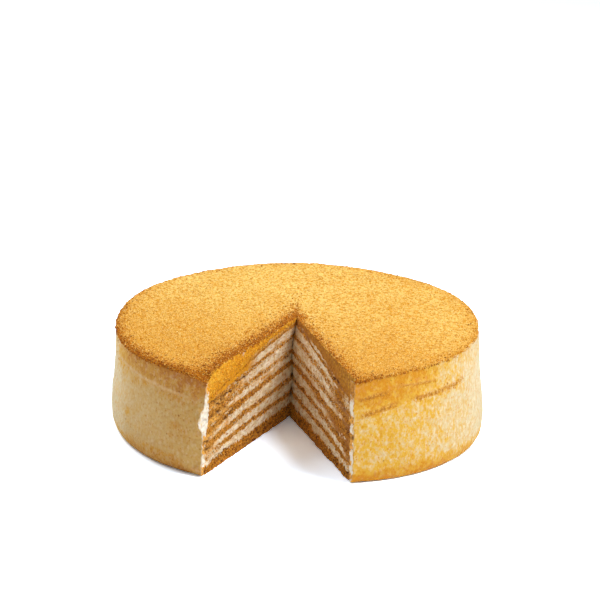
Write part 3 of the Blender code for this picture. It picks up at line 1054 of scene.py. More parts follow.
def cut_curves(side):
    """For each line between layers, its (reach, height) points from the tip to the rim."""
    ends = [reach_at_radius(side, CORE_RADIUS, face) for face in layer_faces]
    curves = [[] for _ in layer_faces]
    for share in steps(0.0, 1.0, FACE_SPACING / CORE_RADIUS):
        places = []
        for face, end in zip(layer_faces, ends):
            places.append((share * end, height_on_cut(side, share * end, face)[0]))
        heights = [0.0] + [height for _, height in places] + [CAKE_HEIGHT]
        for number, (reach, height) in enumerate(places):
            room = min(height - heights[number], heights[number + 2] - height)
            size = min(RAGGED, RAGGED_MOST * room) * min(reach / TIP_RAMP, 1.0)
            size *= BASE_RAGGED if number == 0 else 1.0
            curves[number].append((reach, height + size * ragged(side, number, reach)))
    return curves


cut_lines = {side.name: cut_curves(side) for side in (LEFT, RIGHT)}
print("points on each line:", len(cut_lines["left"][0]), "lines:", len(layer_faces))

# %% [markdown]
# ## A disc with a slice out of it
#
# The base, each thin layer and the crust are all discs with the slice missing. A disc has an upper
# and a lower sheet, rings round its rim, and two cut faces. The cut faces are filled finely, because
# they are what shows. Where a sheet touches another layer, a few large faces are enough.

# %% Building a disc
HIDDEN_RINGS = (0.3, 0.55, 0.8)
HIDDEN_TURNS = 48
CLEAR_OF_CUT = math.radians(9)
RIGHT_ANGLE = math.atan2(RIGHT.top.y, RIGHT.top.x)
LEFT_ANGLE = math.atan2(LEFT.top.y, LEFT.top.x) + math.tau
TEAR_FADE = 0.9 * MM

Sheet = namedtuple("Sheet", "curves inner lift")
Ring = namedtuple("Ring", "turns at marks")


def no_marks(angle, radius, height):
    return {}


def no_cut_marks(side, share, height):
    return {}


def point_on_cut(shell, side, reach, height, tear=0.0, depth=0.0, marks_at=no_cut_marks):
    share = reach / cut_line(side, height)[3]
    # The mark `dark` is painted shade in crevices and in the slit and holes at the tip.
    dark = min(1.0, crevice(side, share, height) + tip_slit(side, reach, height)[1])
    marks = dict(tear=tear, reach=share, height=height, depth=depth, side=side.turn)
    marks.update(cut=1.0, loose=1.0, dark=dark)
    marks.update(marks_at(side, share, height))
    if tear == 0.0:
        marks["loose"] = 0.0
    return shell.point(cut_place(side, reach, height), cut_normal(side, height), **marks)


def fill_cut_face(shell, side, loop, flat, draw, marks_at):
    places = filled(flat, FACE_SPACING, draw)

    def lift(number):
        (reach, height), away, depth = places[number]
        tear = min(away / TEAR_FADE, reach / TIP_RAMP, 1.0)
        return point_on_cut(shell, side, reach, height, tear, depth, marks_at)

    shell.patch(loop, flat, [place for place, _, _ in places], lift)


def ring_row(shell, ring, right_end, left_end):
    """Points round the cake on one ring, from the right face of the cut to the left one."""
    start = math.atan2(shell.points[right_end].y, shell.points[right_end].x)
    end = math.atan2(shell.points[left_end].y, shell.points[left_end].x) + math.tau
    row = [right_end]
    for turn in range(1, ring.turns):
        angle = start + (end - start) * turn / ring.turns
        radius, height = ring.at(angle)
        place = settled(polar(angle, radius, height))
        row.append(shell.point(place, **ring.marks(angle, radius, height)))
    return [*row, left_end]


def ring_ends(shell, ring, marks_at):
    """The points where a ring meets the two faces of the cut, and their places on the faces."""
    ends = {}
    for side in (RIGHT, LEFT):
        angle, reach, height = ring_on_cut(side, ring.at)
        marks = ring.marks(angle, ring.at(angle)[0], height)
        marks["cut"] = float(side is LEFT)

        def marks_here(side, share, height, marks=marks):
            return {**marks, **marks_at(side, share, height)}

        number = point_on_cut(shell, side, reach, height, marks_at=marks_here)
        ends[side.name] = (number, (reach, height))
    return ends


def hidden_places(radius):
    """A few places inside a sheet that another layer hides, clear of the cut."""
    start = RIGHT_ANGLE + CLEAR_OF_CUT
    end = LEFT_ANGLE - CLEAR_OF_CUT
    places = []
    for share in HIDDEN_RINGS:
        turns = round(HIDDEN_TURNS * share)
        for turn in range(turns + 1):
            angle = start + (end - start) * turn / turns
            places.append((share * radius * math.cos(angle), share * radius * math.sin(angle)))
    return places


def hidden_sheet(curves, face, radius):
    """A sheet that another layer touches, so it needs only a few points."""
    inner = hidden_places(radius)

    def lift(shell, number):
        x, y = inner[number]
        return shell.point((x, y, settled_over(x, y, face)[0]))

    return Sheet(curves, inner, lift)


def build_disc(name, material, lower, upper, rings, draw, marks_at):
    """A disc with the slice missing, between two sheets. Its rings run down its rim."""
    shell = Shell()
    tip_heights = steps(lower.curves["left"][0][1], upper.curves["left"][0][1], FACE_SPACING)
    tip = [point_on_cut(shell, RIGHT, 0.0, height) for height in tip_heights]
    edges = {}
    for side in (LEFT, RIGHT):
        for which, sheet, start in (("lower", lower, tip[0]), ("upper", upper, tip[-1])):
            share = float(which == "upper")
            edges[side.name, which] = [start]
            for place in sheet.curves[side.name][1:]:
                number = point_on_cut(shell, side, *place, depth=share, marks_at=marks_at)
                edges[side.name, which].append(number)
    middle = [ring_ends(shell, ring, marks_at) for ring in rings[1:-1]]
    for side in (LEFT, RIGHT):
        ends = [ring[side.name] for ring in middle]
        down = edges[side.name, "lower"][::-1]
        loop = edges[side.name, "upper"] + [end[0] for end in ends] + down + tip[1:-1]
        flat = upper.curves[side.name] + [end[1] for end in ends] + lower.curves[side.name][::-1]
        flat += [(0.0, height) for height in tip_heights[1:-1]]
        fill_cut_face(shell, side, loop, flat, draw, marks_at)
    rows = [ring_row(shell, rings[0], edges["right", "upper"][-1], edges["left", "upper"][-1])]
    for ring, ends in zip(rings[1:-1], middle):
        rows.append(ring_row(shell, ring, ends["right"][0], ends["left"][0]))
    rows.append(ring_row(shell, rings[-1], edges["right", "lower"][-1], edges["left", "lower"][-1]))
    for above, below in zip(rows, rows[1:]):
        shell.band(below, above)
    for which, sheet, row in (("lower", lower, rows[-1]), ("upper", upper, rows[0])):
        loop = edges["left", which][::-1] + edges["right", which][1:] + row[1:-1]
        flat = [shell.points[number].xy for number in loop]
        shell.patch(loop, flat, sheet.inner, lambda number, sheet=sheet: sheet.lift(shell, number))
    return shell.piece(name, material)


def level_ring(radius, height, turns=HIDDEN_TURNS):
    return Ring(turns, lambda angle: (radius, height), no_marks)


# %% [markdown]
# Towards the rim the thin layers are pressed together and the cream has soaked into the crumbs, so
# its white lines end in a brown mass. Each line ends somewhere else, as read from the photograph.
# The mark `smudge` says how far the cream has become mass, and `smear` how much cream the knife has
# dragged over a sponge.

# %% Where the cream ends, is dragged or is covered
CREAM_ENDS = {
    "left": (1.02, 0.88, 0.76, 0.66, 0.58, 0.5, 0.0),
    "right": (1.02, 0.92, 0.62, 0.76, 0.72, 0.72, 0.56),
}
CREAM_STARTS = (-1.0, -1.0, -1.0, -1.0, -1.0, -1.0, 0.3)
CREAM_END_SPAN = 0.08
SPONGE_SMEARS = (0.25, 0.3, 0.25, 0.5, 0.42, 0.25)
MASS_STARTS = 0.6
COVER_STARTS = 0.5
FIRST_COVERED = 10
WHITE_SPOTS = {
    "left": (
        Spot(0.85, 10.5, 0.06, 2.8, 0.0),
        Spot(0.93, 9.6, 0.05, 1.8, 0.0),
        Spot(0.84, 21.8, 0.1, 1.3, -0.3),
        Spot(0.75, 28.6, 0.06, 1.0, -0.15),
        Spot(0.9, 27.0, 0.04, 0.8, -0.2),
        Spot(0.64, 33.0, 0.07, 0.8, -0.1),
    ),
    "right": (
        Spot(0.67, 44.5, 0.06, 2.2, -0.3),
        Spot(0.92, 41.5, 0.07, 3.6, 0.0),
        Spot(0.83, 32.0, 0.05, 0.9, -0.1),
        Spot(0.67, 22.0, 0.06, 1.1, -0.15),
        Spot(0.94, 8.0, 0.04, 1.6, 0.0),
    ),
}
BROWN_SPOTS = {
    "left": (Spot(0.33, 35.0, 0.1, 0.8, -0.05),),
    "right": (Spot(0.2, 33.2, 0.16, 1.6, -0.02), Spot(0.5, 27.2, 0.12, 1.3, -0.06)),
}


def nearness(spots, side, share, height):
    """How near a place on the cut is to any of the spots on its side, from 0 to 1."""
    return min(1.0, sum(near_spot(spot, share, height) for spot in spots[side.name]))


def covered(number, side, share):
    """How far crumbs of the crust cover one of the upper layers on the left of the cut."""
    if side is RIGHT or number < FIRST_COVERED:
        return 0.0
    return soft_step(share, COVER_STARTS - CREAM_END_SPAN, COVER_STARTS + CREAM_END_SPAN)


def cream_marks(number):
    def marks_at(side, share, height):
        start = CREAM_STARTS[number // 2]
        end = CREAM_ENDS[side.name][number // 2]
        white = soft_step(share, start - CREAM_END_SPAN, start + CREAM_END_SPAN)
        white *= 1 - soft_step(share, end - CREAM_END_SPAN, end + CREAM_END_SPAN)
        white = max(white, nearness(WHITE_SPOTS, side, share, height))
        white *= 1 - nearness(BROWN_SPOTS, side, share, height)
        return {"smudge": 1 - white, "toast": covered(number, side, share)}

    return marks_at


def sponge_marks(number):
    def marks_at(side, share, height):
        mass = soft_step(share, MASS_STARTS, 1.0)
        white = nearness(WHITE_SPOTS, side, share, height)
        return {
            "smear": max(white, SPONGE_SMEARS[number // 2] * (1 - mass)),
            "smudge": mass * (1 - white),
            "toast": covered(number, side, share),
        }

    return marks_at


# %% Build the thin layers
draw = random.Random(11)
pieces = []
for number in range(len(layer_faces) - 1):
    is_cream = number % 2 == 0
    name = f"cream_{number // 2 + 1}" if is_cream else f"sponge_{number // 2 + 2}"
    finish = cream_material if is_cream else sponge_material
    marks_at = cream_marks(number) if is_cream else sponge_marks(number)
    sheets = []
    rims = []
    for which in (number, number + 1):
        curves = {side: cut_lines[side][which] for side in ("left", "right")}
        sheets.append(hidden_sheet(curves, layer_faces[which], CORE_RADIUS))
        rims.append(level_ring(CORE_RADIUS, layer_faces[which](CORE_RADIUS)))
    layer = build_disc("dressed_" + name, finish, *sheets, rims[::-1], draw, marks_at)
    tear = CREAM_TEAR if is_cream else SPONGE_TEAR
    run_tree(layer, TORN_FACE, Seed=float(number), Finish=finish, **tear)
    pieces.append((layer, "cream_filling" if is_cream else "sponge", name))

# %% [markdown]
# ## The base sponge
#
# The base is a sponge like the others but three times as thick, and it reaches out under the coat
# almost to the outside. Its line with the first cream is shared, then runs on to its own rim.

# %% Build the base
BASE_TURNS = 150
CRUMBS_ABOVE = (1.2 * MM, 2.0 * MM)
BRIGHT_TIP = Spot(0.02, 6.5, 0.05, 2.5, -0.4)


def longer_curve(side, curve, radius, face):
    """A curve carried on from where it ends to a larger radius."""
    start = curve[-1][0]
    end = reach_at_radius(side, radius, face)
    more = steps(start, end, FACE_SPACING)[1:]
    return curve + [(reach, height_on_cut(side, reach, face)[0]) for reach in more]


def ground(radius):
    return 0.0


def floor_curve(side):
    end = reach_at_radius(side, BASE_FOOT_RADIUS, ground)
    return [(reach, 0.0) for reach in steps(0.0, end, FACE_SPACING)]


def base_marks(side, share, height):
    gold = near_spot(BRIGHT_TIP, share, height) if side is RIGHT else 0.0
    return {"toast": gold, "loose": soft_step(height, *CRUMBS_ABOVE)}


base_top = droop_face(BASE_TOP)
base_upper = {
    side.name: longer_curve(side, cut_lines[side.name][0], BASE_RADIUS, base_top) for side in (LEFT, RIGHT)
}
base_lower = {side.name: floor_curve(side) for side in (LEFT, RIGHT)}
base = build_disc(
    "dressed_base_sponge",
    sponge_material,
    hidden_sheet(base_lower, ground, BASE_FOOT_RADIUS),
    hidden_sheet(base_upper, base_top, CORE_RADIUS),
    [
        level_ring(BASE_RADIUS, base_top(BASE_RADIUS), BASE_TURNS),
        level_ring(BASE_RADIUS, BASE_FOOT_HEIGHT, BASE_TURNS),
        level_ring(BASE_FOOT_RADIUS, 0.0, BASE_TURNS),
    ],
    draw,
    base_marks,
)
run_tree(base, TORN_FACE, Seed=40.0, Finish=sponge_material, **SPONGE_TEAR)
pieces.append((base, "sponge", "base_sponge"))

# %% [markdown]
# ## The crust's lip and the coat's strokes
#
# The crumbs of the crust lap over the rim, by about two millimetres beside the cut and by one
# elsewhere. Below them is cream, put on with a palette knife. On the right the knife has left four
# low ridges, like overlapping tongues, with crumbs caught under them, and on the left one more.
# A painted highlight lightens each ridge's raised edge, most of all on the left.
# All of that is relief of a millimetre or less. At the left face of the cut the soft cream has been
# pushed outwards by four millimetres, and the corner of the crust above it has crumbled away.

# %% The lip and the strokes, read round the cake
LIP_STATIONS = (
    (-175, 0.8), (-165, 0.8), (-148, 1.8), (-127, 2.3), (-118, 1.2), (-71, 2.4), (-63, 1.3), (-40, 0.9),
    (20, 1.0), (110, 1.2),
)
LIP_DEPTHS = [(degrees, depth * MM) for degrees, depth in LIP_STATIONS]
LIP_DEEPEST = 10.4 * MM
LIP_RAGGED = 0.4 * MM
LIP_LUMPS = (2.2 * MM, 9 * MM)
LAP_FADE = 1.2 * MM
LAP_LEAST = 0.2
COAT_RELIEF = 0.45 * MM
COAT_LUMP = 16.0 * MM
COAT_DAUB = 0.22 * MM
COAT_DAUB_SIZE = Vector((9.0, 9.0, 4.0)) * MM
COAT_GRAIN = 0.07 * MM
COAT_GRAIN_SIZE = 1.4 * MM

Ridge = namedtuple("Ridge", "start_angle start_height end_angle end_height width crumbs")
RIDGES = (
    Ridge(-71, 46.8 * MM, -58.5, 49.6 * MM, 0.95 * MM, 0.85),
    Ridge(-57, 51.7 * MM, -41, 49.4 * MM, 0.6 * MM, 0.6),
    Ridge(-70, 38.3 * MM, -56.0, 42.0 * MM, 0.95 * MM, 0.85),
    Ridge(-53, 42.4 * MM, -27, 44.2 * MM, 0.85 * MM, 0.85),
    Ridge(-168, 49.5 * MM, -120, 42.2 * MM, 1.1 * MM, 0.12),
)
RIDGE_STEP = 0.32 * MM
RIDGE_GROOVE = 0.15
RIDGE_SWAY = 0.5 * MM
RIDGE_SWAYS = 14
RIDGE_FADES_IN = (-0.08, 0.2)
RIDGE_FADES_OUT = (0.75, 1.1)

STAIN_ROUND = (
    (-172, 0.15), (-150, 0.35), (-122, 0.38), (-66, 0.98), (-50, 0.96), (-37, 0.56), (-14, 0.28), (40, 0.3),
    (110, 0.35), (160, 0.2),
)
UPPER_STAIN = (
    (-172, 0.1), (-150, 1.1), (-120, 1.8), (-66, 1.9), (-50, 1.4), (-36, 0.3), (-14, 0.15), (90, 0.3),
)
FOOT_STAIN = (
    (-172, 1.2), (-150, 1.3), (-122, 1.2), (-66, 1.7), (-45, 1.9), (-30, 1.6), (-10, 1.2), (90, 0.7),
)
DUST = ((-175, 0.0), (-162, 0.05), (-145, 0.68), (-120, 0.95), (-66, 0.0), (150, 0.0))
UPPER_HEIGHTS = (36 * MM, 56 * MM)
FOOT_HEIGHTS = (1 * MM, 10 * MM)

Blush = namedtuple("Blush", "angle height angle_span height_span strength")
BLUSHES = (
    Blush(-62, 42, 8, 4, 0.35),
    Blush(-52, 47, 6, 4, 0.25),
    Blush(-36, 42.5, 8, 2.5, 0.4),
    Blush(-60, 30, 7, 6, 0.15),
    Blush(-118.5, 54, 2.5, 6, 0.7),
    Blush(-121, 6, 4, 3, -0.7),
    Blush(-134, 8.5, 14, 1.8, 0.45),
    Blush(-128.5, 26, 1.6, 1.4, 0.9),
    Blush(-126.5, 24.5, 2.0, 1.0, 0.5),
    Blush(-151, 22, 1.6, 2.4, 0.6),
    Blush(-154, 53, 3, 3, 0.5),
    Blush(-142, 51, 3, 2, 0.4),
    Blush(-165, 30, 12, 14, 0.1),
)
print("ridges:", len(RIDGES), "blushes:", len(BLUSHES))

# %% The outline beside the cut, by height in millimetres
EDGE_STATIONS = (
    (0, 0.3), (4, -0.5), (9, -2.2), (14.5, -1.8), (20, -2.0), (26, -0.2), (30, 3.2), (33, 4.2), (36, 2.2),
    (40, -1.8), (46, -1.9), (52, -3.6), (62, -3.8),
)
EDGE_OUTLINE = [(height, outwards * MM) for height, outwards in EDGE_STATIONS]
BULGE_SPAN = 2.6 * MM
LOSS_SPAN = 6.0 * MM
EDGE_LUMP = 2.4 * MM
EDGE_LUMPS = 0.9 * MM
EDGE_WORN = 1.5 * MM
EDGE_WORN_BAND = 1.7 * MM
EDGE_WORN_FROM = (0.1, 0.4)
CORNER_WORN = 4.2 * MM
CORNER_WORN_SPAN = 7.0 * MM
print("stations of the outline:", len(EDGE_OUTLINE))


# %% The lip, the strokes and the stains as functions of the place on the side
def wrapped(degrees):
    """An angle in degrees, brought between -180 and 180."""
    return (degrees + 180) % 360 - 180


def read_stations(stations, place):
    """Reads a value that runs smoothly between stations, which are pairs of place and value."""
    for (start, first), (end, second) in zip(stations, stations[1:]):
        if place <= end:
            return first + (second - first) * soft_step(place, start, end)
    return stations[-1][1]


def round_the_cake(angle, stations):
    """Reads a value round the cake between stations, which are pairs of degrees and value."""
    degrees = wrapped(math.degrees(angle))
    if degrees < stations[0][0]:
        degrees += 360
    return read_stations([*stations, (stations[0][0] + 360, stations[0][1])], degrees)


def into_cake(side, place):
    """How far a place is from one torn face of the cut, into the cake, at the top."""
    tip, along, into, length = cut_line(side, CAKE_HEIGHT)
    reach = (place - tip).dot(along)
    return (place - tip).dot(into) - cut_offset(side, max(reach, 0.0), CAKE_HEIGHT, length)


def worn(angle, radius):
    """How far the top has crumbled down, along the left face of the cut and at its corner."""
    place = polar(angle, radius)
    tip, along, _, length = cut_line(LEFT, CAKE_HEIGHT)
    share = (place - tip).dot(along) / length
    edge = math.exp(-abs(into_cake(LEFT, place)) / EDGE_WORN_BAND) * soft_step(share, *EDGE_WORN_FROM)
    corner = math.exp(-(((place - LEFT.top).length / CORNER_WORN_SPAN) ** 2))
    return EDGE_WORN * edge + CORNER_WORN * corner


def lip_depth(angle):
    """How far the crumbs of the crust reach down the side."""
    place = polar(angle, CAKE_RADIUS, 0.0)
    uneven = sum(noise.noise(place / size) for size in LIP_LUMPS)
    return round_the_cake(angle, LIP_DEPTHS) - LIP_RAGGED * uneven


def lip_bottom(angle):
    """The height at which the crumbs of the crust end on the side."""
    return CAKE_HEIGHT - lip_depth(angle) - worn(angle, CAKE_RADIUS)


def edge_outline(angle, height):
    """How far the side stands out beside the left face of the cut, or has crumbled back there."""
    arc = abs(math.radians(wrapped(math.degrees(angle - LEFT_ANGLE)))) * CAKE_RADIUS
    outwards = read_stations(EDGE_OUTLINE, height / MM)
    lumps = EDGE_LUMPS * noise.noise(Vector((0.0, 0.0, height / EDGE_LUMP)))
    span = BULGE_SPAN if outwards > 0 else LOSS_SPAN
    return outwards * math.exp(-((arc / span) ** 2)) + lumps * math.exp(-((arc / BULGE_SPAN) ** 2))


def ridge_profile(angle, height):
    """The relief of the ridges, how much crumb is caught under them and how much painted highlight lightens
    their raised edge.
    """
    step = 0.0
    caught = 0.0
    painted_highlight = 0.0
    for ridge in RIDGES:
        share = (wrapped(math.degrees(angle)) - ridge.start_angle) / (ridge.end_angle - ridge.start_angle)
        fade = soft_step(share, *RIDGE_FADES_IN) * (1 - soft_step(share, *RIDGE_FADES_OUT))
        if fade == 0.0:
            continue
        share = min(max(share, 0.0), 1.0)
        sway = RIDGE_SWAY * noise.noise(Vector((angle * RIDGE_SWAYS, ridge.start_height / MM, 0.0)))
        middle = ridge.start_height + (ridge.end_height - ridge.start_height) * share + sway

        def near(above, span):
            """How near the height is to a line above the ridge's middle, both in ridge widths."""
            return math.exp(-(((height - middle - above * ridge.width) / (span * ridge.width)) ** 2))

        step += fade * RIDGE_STEP * (near(1.6, 1.7) - RIDGE_GROOVE * near(0.0, 0.8))
        caught += fade * ridge.crumbs * near(0.0, 1.7)
        # Painted highlight along the ridge's raised edge.
        painted_highlight += fade * near(1.0, 1.0) * (1 - ridge.crumbs)
    return step, caught, painted_highlight


def coat_relief(angle, height):
    place = polar(angle, CAKE_RADIUS, height)
    relief = COAT_RELIEF * noise.noise(place / COAT_LUMP)
    stretched = Vector([p / s for p, s in zip(place, COAT_DAUB_SIZE)])
    relief += COAT_DAUB * noise.noise(stretched)
    relief += COAT_GRAIN * noise.noise(place / COAT_GRAIN_SIZE)
    return relief + ridge_profile(angle, height)[0]


def stain(angle, height):
    """How golden the coat has become: 0 is pale, 1 is golden and more is orange."""
    total = round_the_cake(angle, STAIN_ROUND)
    total += round_the_cake(angle, UPPER_STAIN) * soft_step(height, *UPPER_HEIGHTS)
    total += round_the_cake(angle, FOOT_STAIN) * (1 - soft_step(height, *FOOT_HEIGHTS))
    for blush in BLUSHES:
        sideways = wrapped(math.degrees(angle) - blush.angle) / blush.angle_span
        upwards = (height - blush.height * MM) / (blush.height_span * MM)
        total += blush.strength * math.exp(-(sideways**2) - upwards**2)
    return max(total, 0.0)


# %% [markdown]
# ## The coat
#
# The coat is a wall of cream, five millimetres thick, that stands round the layers and turns in at
# its foot. Its section is a closed loop, so it is carried round the cake ring by ring. The outside
# has a point about every 0.9 mm, and the inside, which the layers hide, only a few.

# %% Colours of the coat
COAT_PALE = paint(222, 213, 180)
COAT_LIGHT = paint(240, 230, 202)
COAT_GOLDEN = paint(226, 178, 57)
COAT_ORANGE = paint(213, 141, 4)
COAT_BROWN = paint(188, 122, 30)
COAT_CRUMB = paint(146, 86, 18)
COAT_DUSTY = paint(204, 170, 98)
COAT_TAN = paint(196, 140, 60)
COAT_RUST = paint(172, 106, 32)
COAT_CUT = paint(246, 238, 222)
CRUMBS_HANG = (45 * MM, 49 * MM)


def coat_finish():
    finish = Finish("side_coat", COAT_PALE, 0.6, subsurface=0.1)
    dust = finish.mark("toast")
    clean = finish.between(dust, 0.5, 0.0)
    finish.over(COAT_DUSTY, dust)
    golden = finish.blend(COAT_GOLDEN, COAT_TAN, dust)
    orange = finish.blend(COAT_ORANGE, COAT_RUST, dust)
    upright = finish.stretched((1.0, 1.0, 0.75))
    cloud = finish.blotches(6, 0.32, 0.68, 4.0)
    streaks = finish.blotches(1.8, 0.32, 0.68, 5.0, upright)
    fine = finish.grain("Tone", 1.1)
    uneven = finish.times(
        finish.spread(cloud, 0.62, 1.38),
        finish.spread(streaks, 0.62, 1.42),
        finish.spread(fine, 0.68, 1.32),
    )
    wash = finish.mark("stain")
    washed = finish.times(wash, uneven)
    finish.over(golden, finish.between(washed, 0.0, 1.05))
    finish.over(orange, finish.between(washed, 1.2, 2.6))
    bare = finish.blotches(2.0, 0.48, 0.66, 5.0, upright)
    finish.over(COAT_LIGHT, bare, clean, finish.between(wash, 0.3, 1.8, 0.65, 0.1))
    finish.over(COAT_LIGHT, bare, dust, 0.2)
    finish.over(orange, finish.grain("Pits", 1.6), 0.3)
    specks = finish.specks(1.5, 0.4, 0.5)
    finish.over(orange, specks, finish.spread(wash, 0.35, 0.75))
    few = finish.specks(3.4, 0.16, 0.26)
    finish.over(COAT_CRUMB, few, 0.8)
    bits = finish.blotches(1.5, 0.36, 0.62, 5.0)
    caught = finish.times(finish.mark("smudge"), finish.spread(bits, 0.3, 2.0))
    finish.over(orange, finish.between(caught, 0.12, 0.7, 0.0, 0.75))
    finish.over(COAT_BROWN, finish.between(caught, 0.5, 1.2, 0.0, 0.85))
    finish.over(COAT_CRUMB, finish.between(caught, 1.15, 1.7, 0.0, 0.6))
    lapped = finish.blotches(1.5, 0.3, 0.5, 4.0)
    # Orange crumbs under the lip; at the front left this also carries painted shade.
    finish.over(orange, finish.mark("lap"), lapped, 0.9)
    on_cut = finish.mark("cut")
    # Painted highlight along the ridges' raised edges, carried by the mark `smear` on the outside.
    finish.over(COAT_LIGHT, finish.mark("smear"), 0.22)
    finish.over(COAT_CUT, on_cut)
    finish.over(CREAM_WARM, on_cut, finish.blotches(3, 0.5, 0.7))
    frayed = finish.blotches(2.2, 0.35, 0.65, 5.0)
    pocket = maths(finish.tree, "ADD", finish.mark("smear"), finish.times(frayed, 0.5))
    reached = finish.between(pocket, 0.5, 0.75)
    finish.over(CRUMB_MASS, on_cut, reached)
    pits = finish.grain("Pits", 1.3)
    finish.over(SPONGE_PORE, on_cut, reached, pits, 0.8)
    covered = finish.between(finish.mark("height"), *CRUMBS_HANG)
    shaded = finish.in_shade()
    crust_here = finish.blend(CRUST_CUT, CRUST_CUT_SHADED, shaded)
    finish.over(crust_here, on_cut, covered, finish.spread(frayed, 0.5, 1.0))
    # Painted shade in crevices and at the tip.
    finish.over(SPONGE_PORE, on_cut, finish.mark("dark"), HOLLOW_SHADE)
    finish.raised(finish.grain("Height", 0.8), 0.1 * MM)
    return finish.done()


coat_material = coat_finish()
print("finish:", coat_material.name)

# %% Build the coat
COAT_TURNS = 660
COAT_ROW = 0.85 * MM
COAT_INNER_TURNS = 60
COAT_LAP = 0.4 * MM
FRONT_LEFT = math.radians(-122)
FRONT_LEFT_POWER = 5
FOOT_TURN_STEPS = 7
RELIEF_RISE = 10
FOOT_FLATTER = 0.7
INNER_ROW = 0.6 * MM
UNDER_LIP_STEP = 0.16


def front_left_browning_and_shade(angle):
    """1 at the front left of the cake, where the crumbs are darkest, and 0 opposite. There the crumbs are
    browner, and painted shade darkens them more.
    """
    return (0.5 + 0.5 * math.cos(angle - FRONT_LEFT)) ** FRONT_LEFT_POWER


def side_marks(angle, radius, height):
    _, caught, painted_highlight = ridge_profile(angle, height)
    lapped = math.exp(-max(lip_bottom(angle) - height, 0.0) / LAP_FADE)
    return {
        "stain": stain(angle, height),
        "smudge": min(1.0, caught),
        # The mark `smear` on the side carries the painted highlight of the ridges.
        "smear": min(1.0, painted_highlight),
        # Crumbs lapping under the lip, most at the front left, where painted shade adds to them.
        "lap": lapped * (LAP_LEAST + (1 - LAP_LEAST) * front_left_browning_and_shade(angle)),
        "toast": round_the_cake(angle, DUST),
        "height": height,
        "up": 1.0,
    }


def coat_ring(share):
    """A ring of the coat's outside, share 0 under the lip and 1 where the foot turns in."""

    def at(angle):
        top = lip_bottom(angle) + COAT_LAP
        height = top + (FOOT_TURN_HEIGHT - top) * share
        rising = min(1.0, RELIEF_RISE * share)
        outwards = coat_relief(angle, height) * rising + edge_outline(angle, height)
        return CAKE_RADIUS + outwards, height

    return Ring(COAT_TURNS, at, side_marks)


def foot_ring(share):
    """A ring of the turned-in foot, share 0 above and 1 at the bottom."""
    turn = math.pi / 2 * share
    inwards = FOOT_TURN * (1 - math.cos(turn))
    height = COAT_LIFT + (FOOT_TURN_HEIGHT - COAT_LIFT) * (1 - math.sin(turn))

    def at(angle):
        fading = 1 - FOOT_FLATTER * share
        outwards = coat_relief(angle, height) * fading + edge_outline(angle, height)
        return CAKE_RADIUS - inwards + outwards, height

    return Ring(COAT_TURNS, at, side_marks)


def inner_rings():
    """Rings up the coat's inside, from the foot to the lip, as close as the cut face needs them."""
    inner = CORE_RADIUS - COAT_LAP
    ledge = base_top(CORE_RADIUS) - COAT_LAP
    corners = [
        (CAKE_RADIUS - FOOT_TURN, COAT_LIFT),
        (BASE_FOOT_RADIUS, COAT_LIFT),
        (BASE_RADIUS - COAT_LAP, BASE_FOOT_HEIGHT),
        (BASE_RADIUS - COAT_LAP, ledge),
        (inner, ledge),
        (inner, CAKE_HEIGHT - LIP_DEEPEST - MM),
    ]
    rings = []
    for (r0, h0), (r1, h1) in zip(corners, corners[1:]):
        count = len(steps(0, math.hypot(r1 - r0, h1 - h0), INNER_ROW)) - 1
        for i in range(1, count + 1):
            share = i / count
            rings.append(level_ring(r0 + (r1 - r0) * share, h0 + (h1 - h0) * share, COAT_INNER_TURNS))
    return rings


def below_lip(share, inside, outside, lift):
    """A ring under the lip, share 0 at the inside radius and 1 at the outside one."""

    def at(angle):
        height = lip_bottom(angle) + lift
        return inside + (outside + edge_outline(angle, height) - inside) * share, height

    return Ring(COAT_INNER_TURNS, at, no_marks)


def top_rings():
    """Rings from the coat's inside to its outside, under the lip."""
    start = CORE_RADIUS - COAT_LAP
    shares = steps(0.0, 1.0, UNDER_LIP_STEP)
    return [below_lip(share, start, CAKE_RADIUS - MM, COAT_LAP) for share in shares]


# %% [markdown]
# Where the coat is cut, crumbs of the layers lie over its cream in pockets, so its white edge comes
# and goes. The pockets' places were read from the photograph.

# %% Pockets of crumb in the coat's cut edge
POCKET_FULL = 1.3
POCKETS = {
    "left": (
        Spot(0.945, 45, 0.02, 5, 0.0),
        Spot(0.945, 33, 0.014, 4, 0.0),
        Spot(0.985, 19.6, 0.06, 2.4, 0.0),
        Spot(0.98, 14.5, 0.05, 2.6, 0.0),
        Spot(1.0, 2, 0.08, 3.4, 0.0),
    ),
    "right": (
        Spot(0.99, 53, 0.09, 5.0, 0.0),
        Spot(0.99, 35.2, 0.08, 2.0, 0.0),
        Spot(0.98, 25.5, 0.08, 1.9, 0.0),
        Spot(0.97, 21.5, 0.06, 3.2, 0.0),
        Spot(0.97, 11.0, 0.045, 1.8, 0.0),
        Spot(0.97, 4.0, 0.06, 2.0, 0.0),
    ),
}


def coat_cut_marks(side, share, height):
    pocket = max(near_spot(spot, share, height) for spot in POCKETS[side.name])
    covered_above = soft_step(height, *CRUMBS_HANG) if side is LEFT else 0.0
    return {"smear": min(1.0, POCKET_FULL * pocket), "loose": covered_above}


# %% Build the wall
def build_ring_wall(name, material, rings, draw, marks_at):
    """A closed wall round the cake: rings that follow its section round, and two cut faces."""
    shell = Shell()
    ends = [ring_ends(shell, ring, marks_at) for ring in rings]
    rows = [ring_row(shell, ring, end["right"][0], end["left"][0]) for ring, end in zip(rings, ends)]
    for above, below in zip(rows, [*rows[1:], rows[0]]):
        shell.band(below, above)
    for side in (LEFT, RIGHT):
        loop = [end[side.name][0] for end in ends]
        flat = [end[side.name][1] for end in ends]
        fill_cut_face(shell, side, loop, flat, draw, marks_at)
    return shell.piece(name, material)


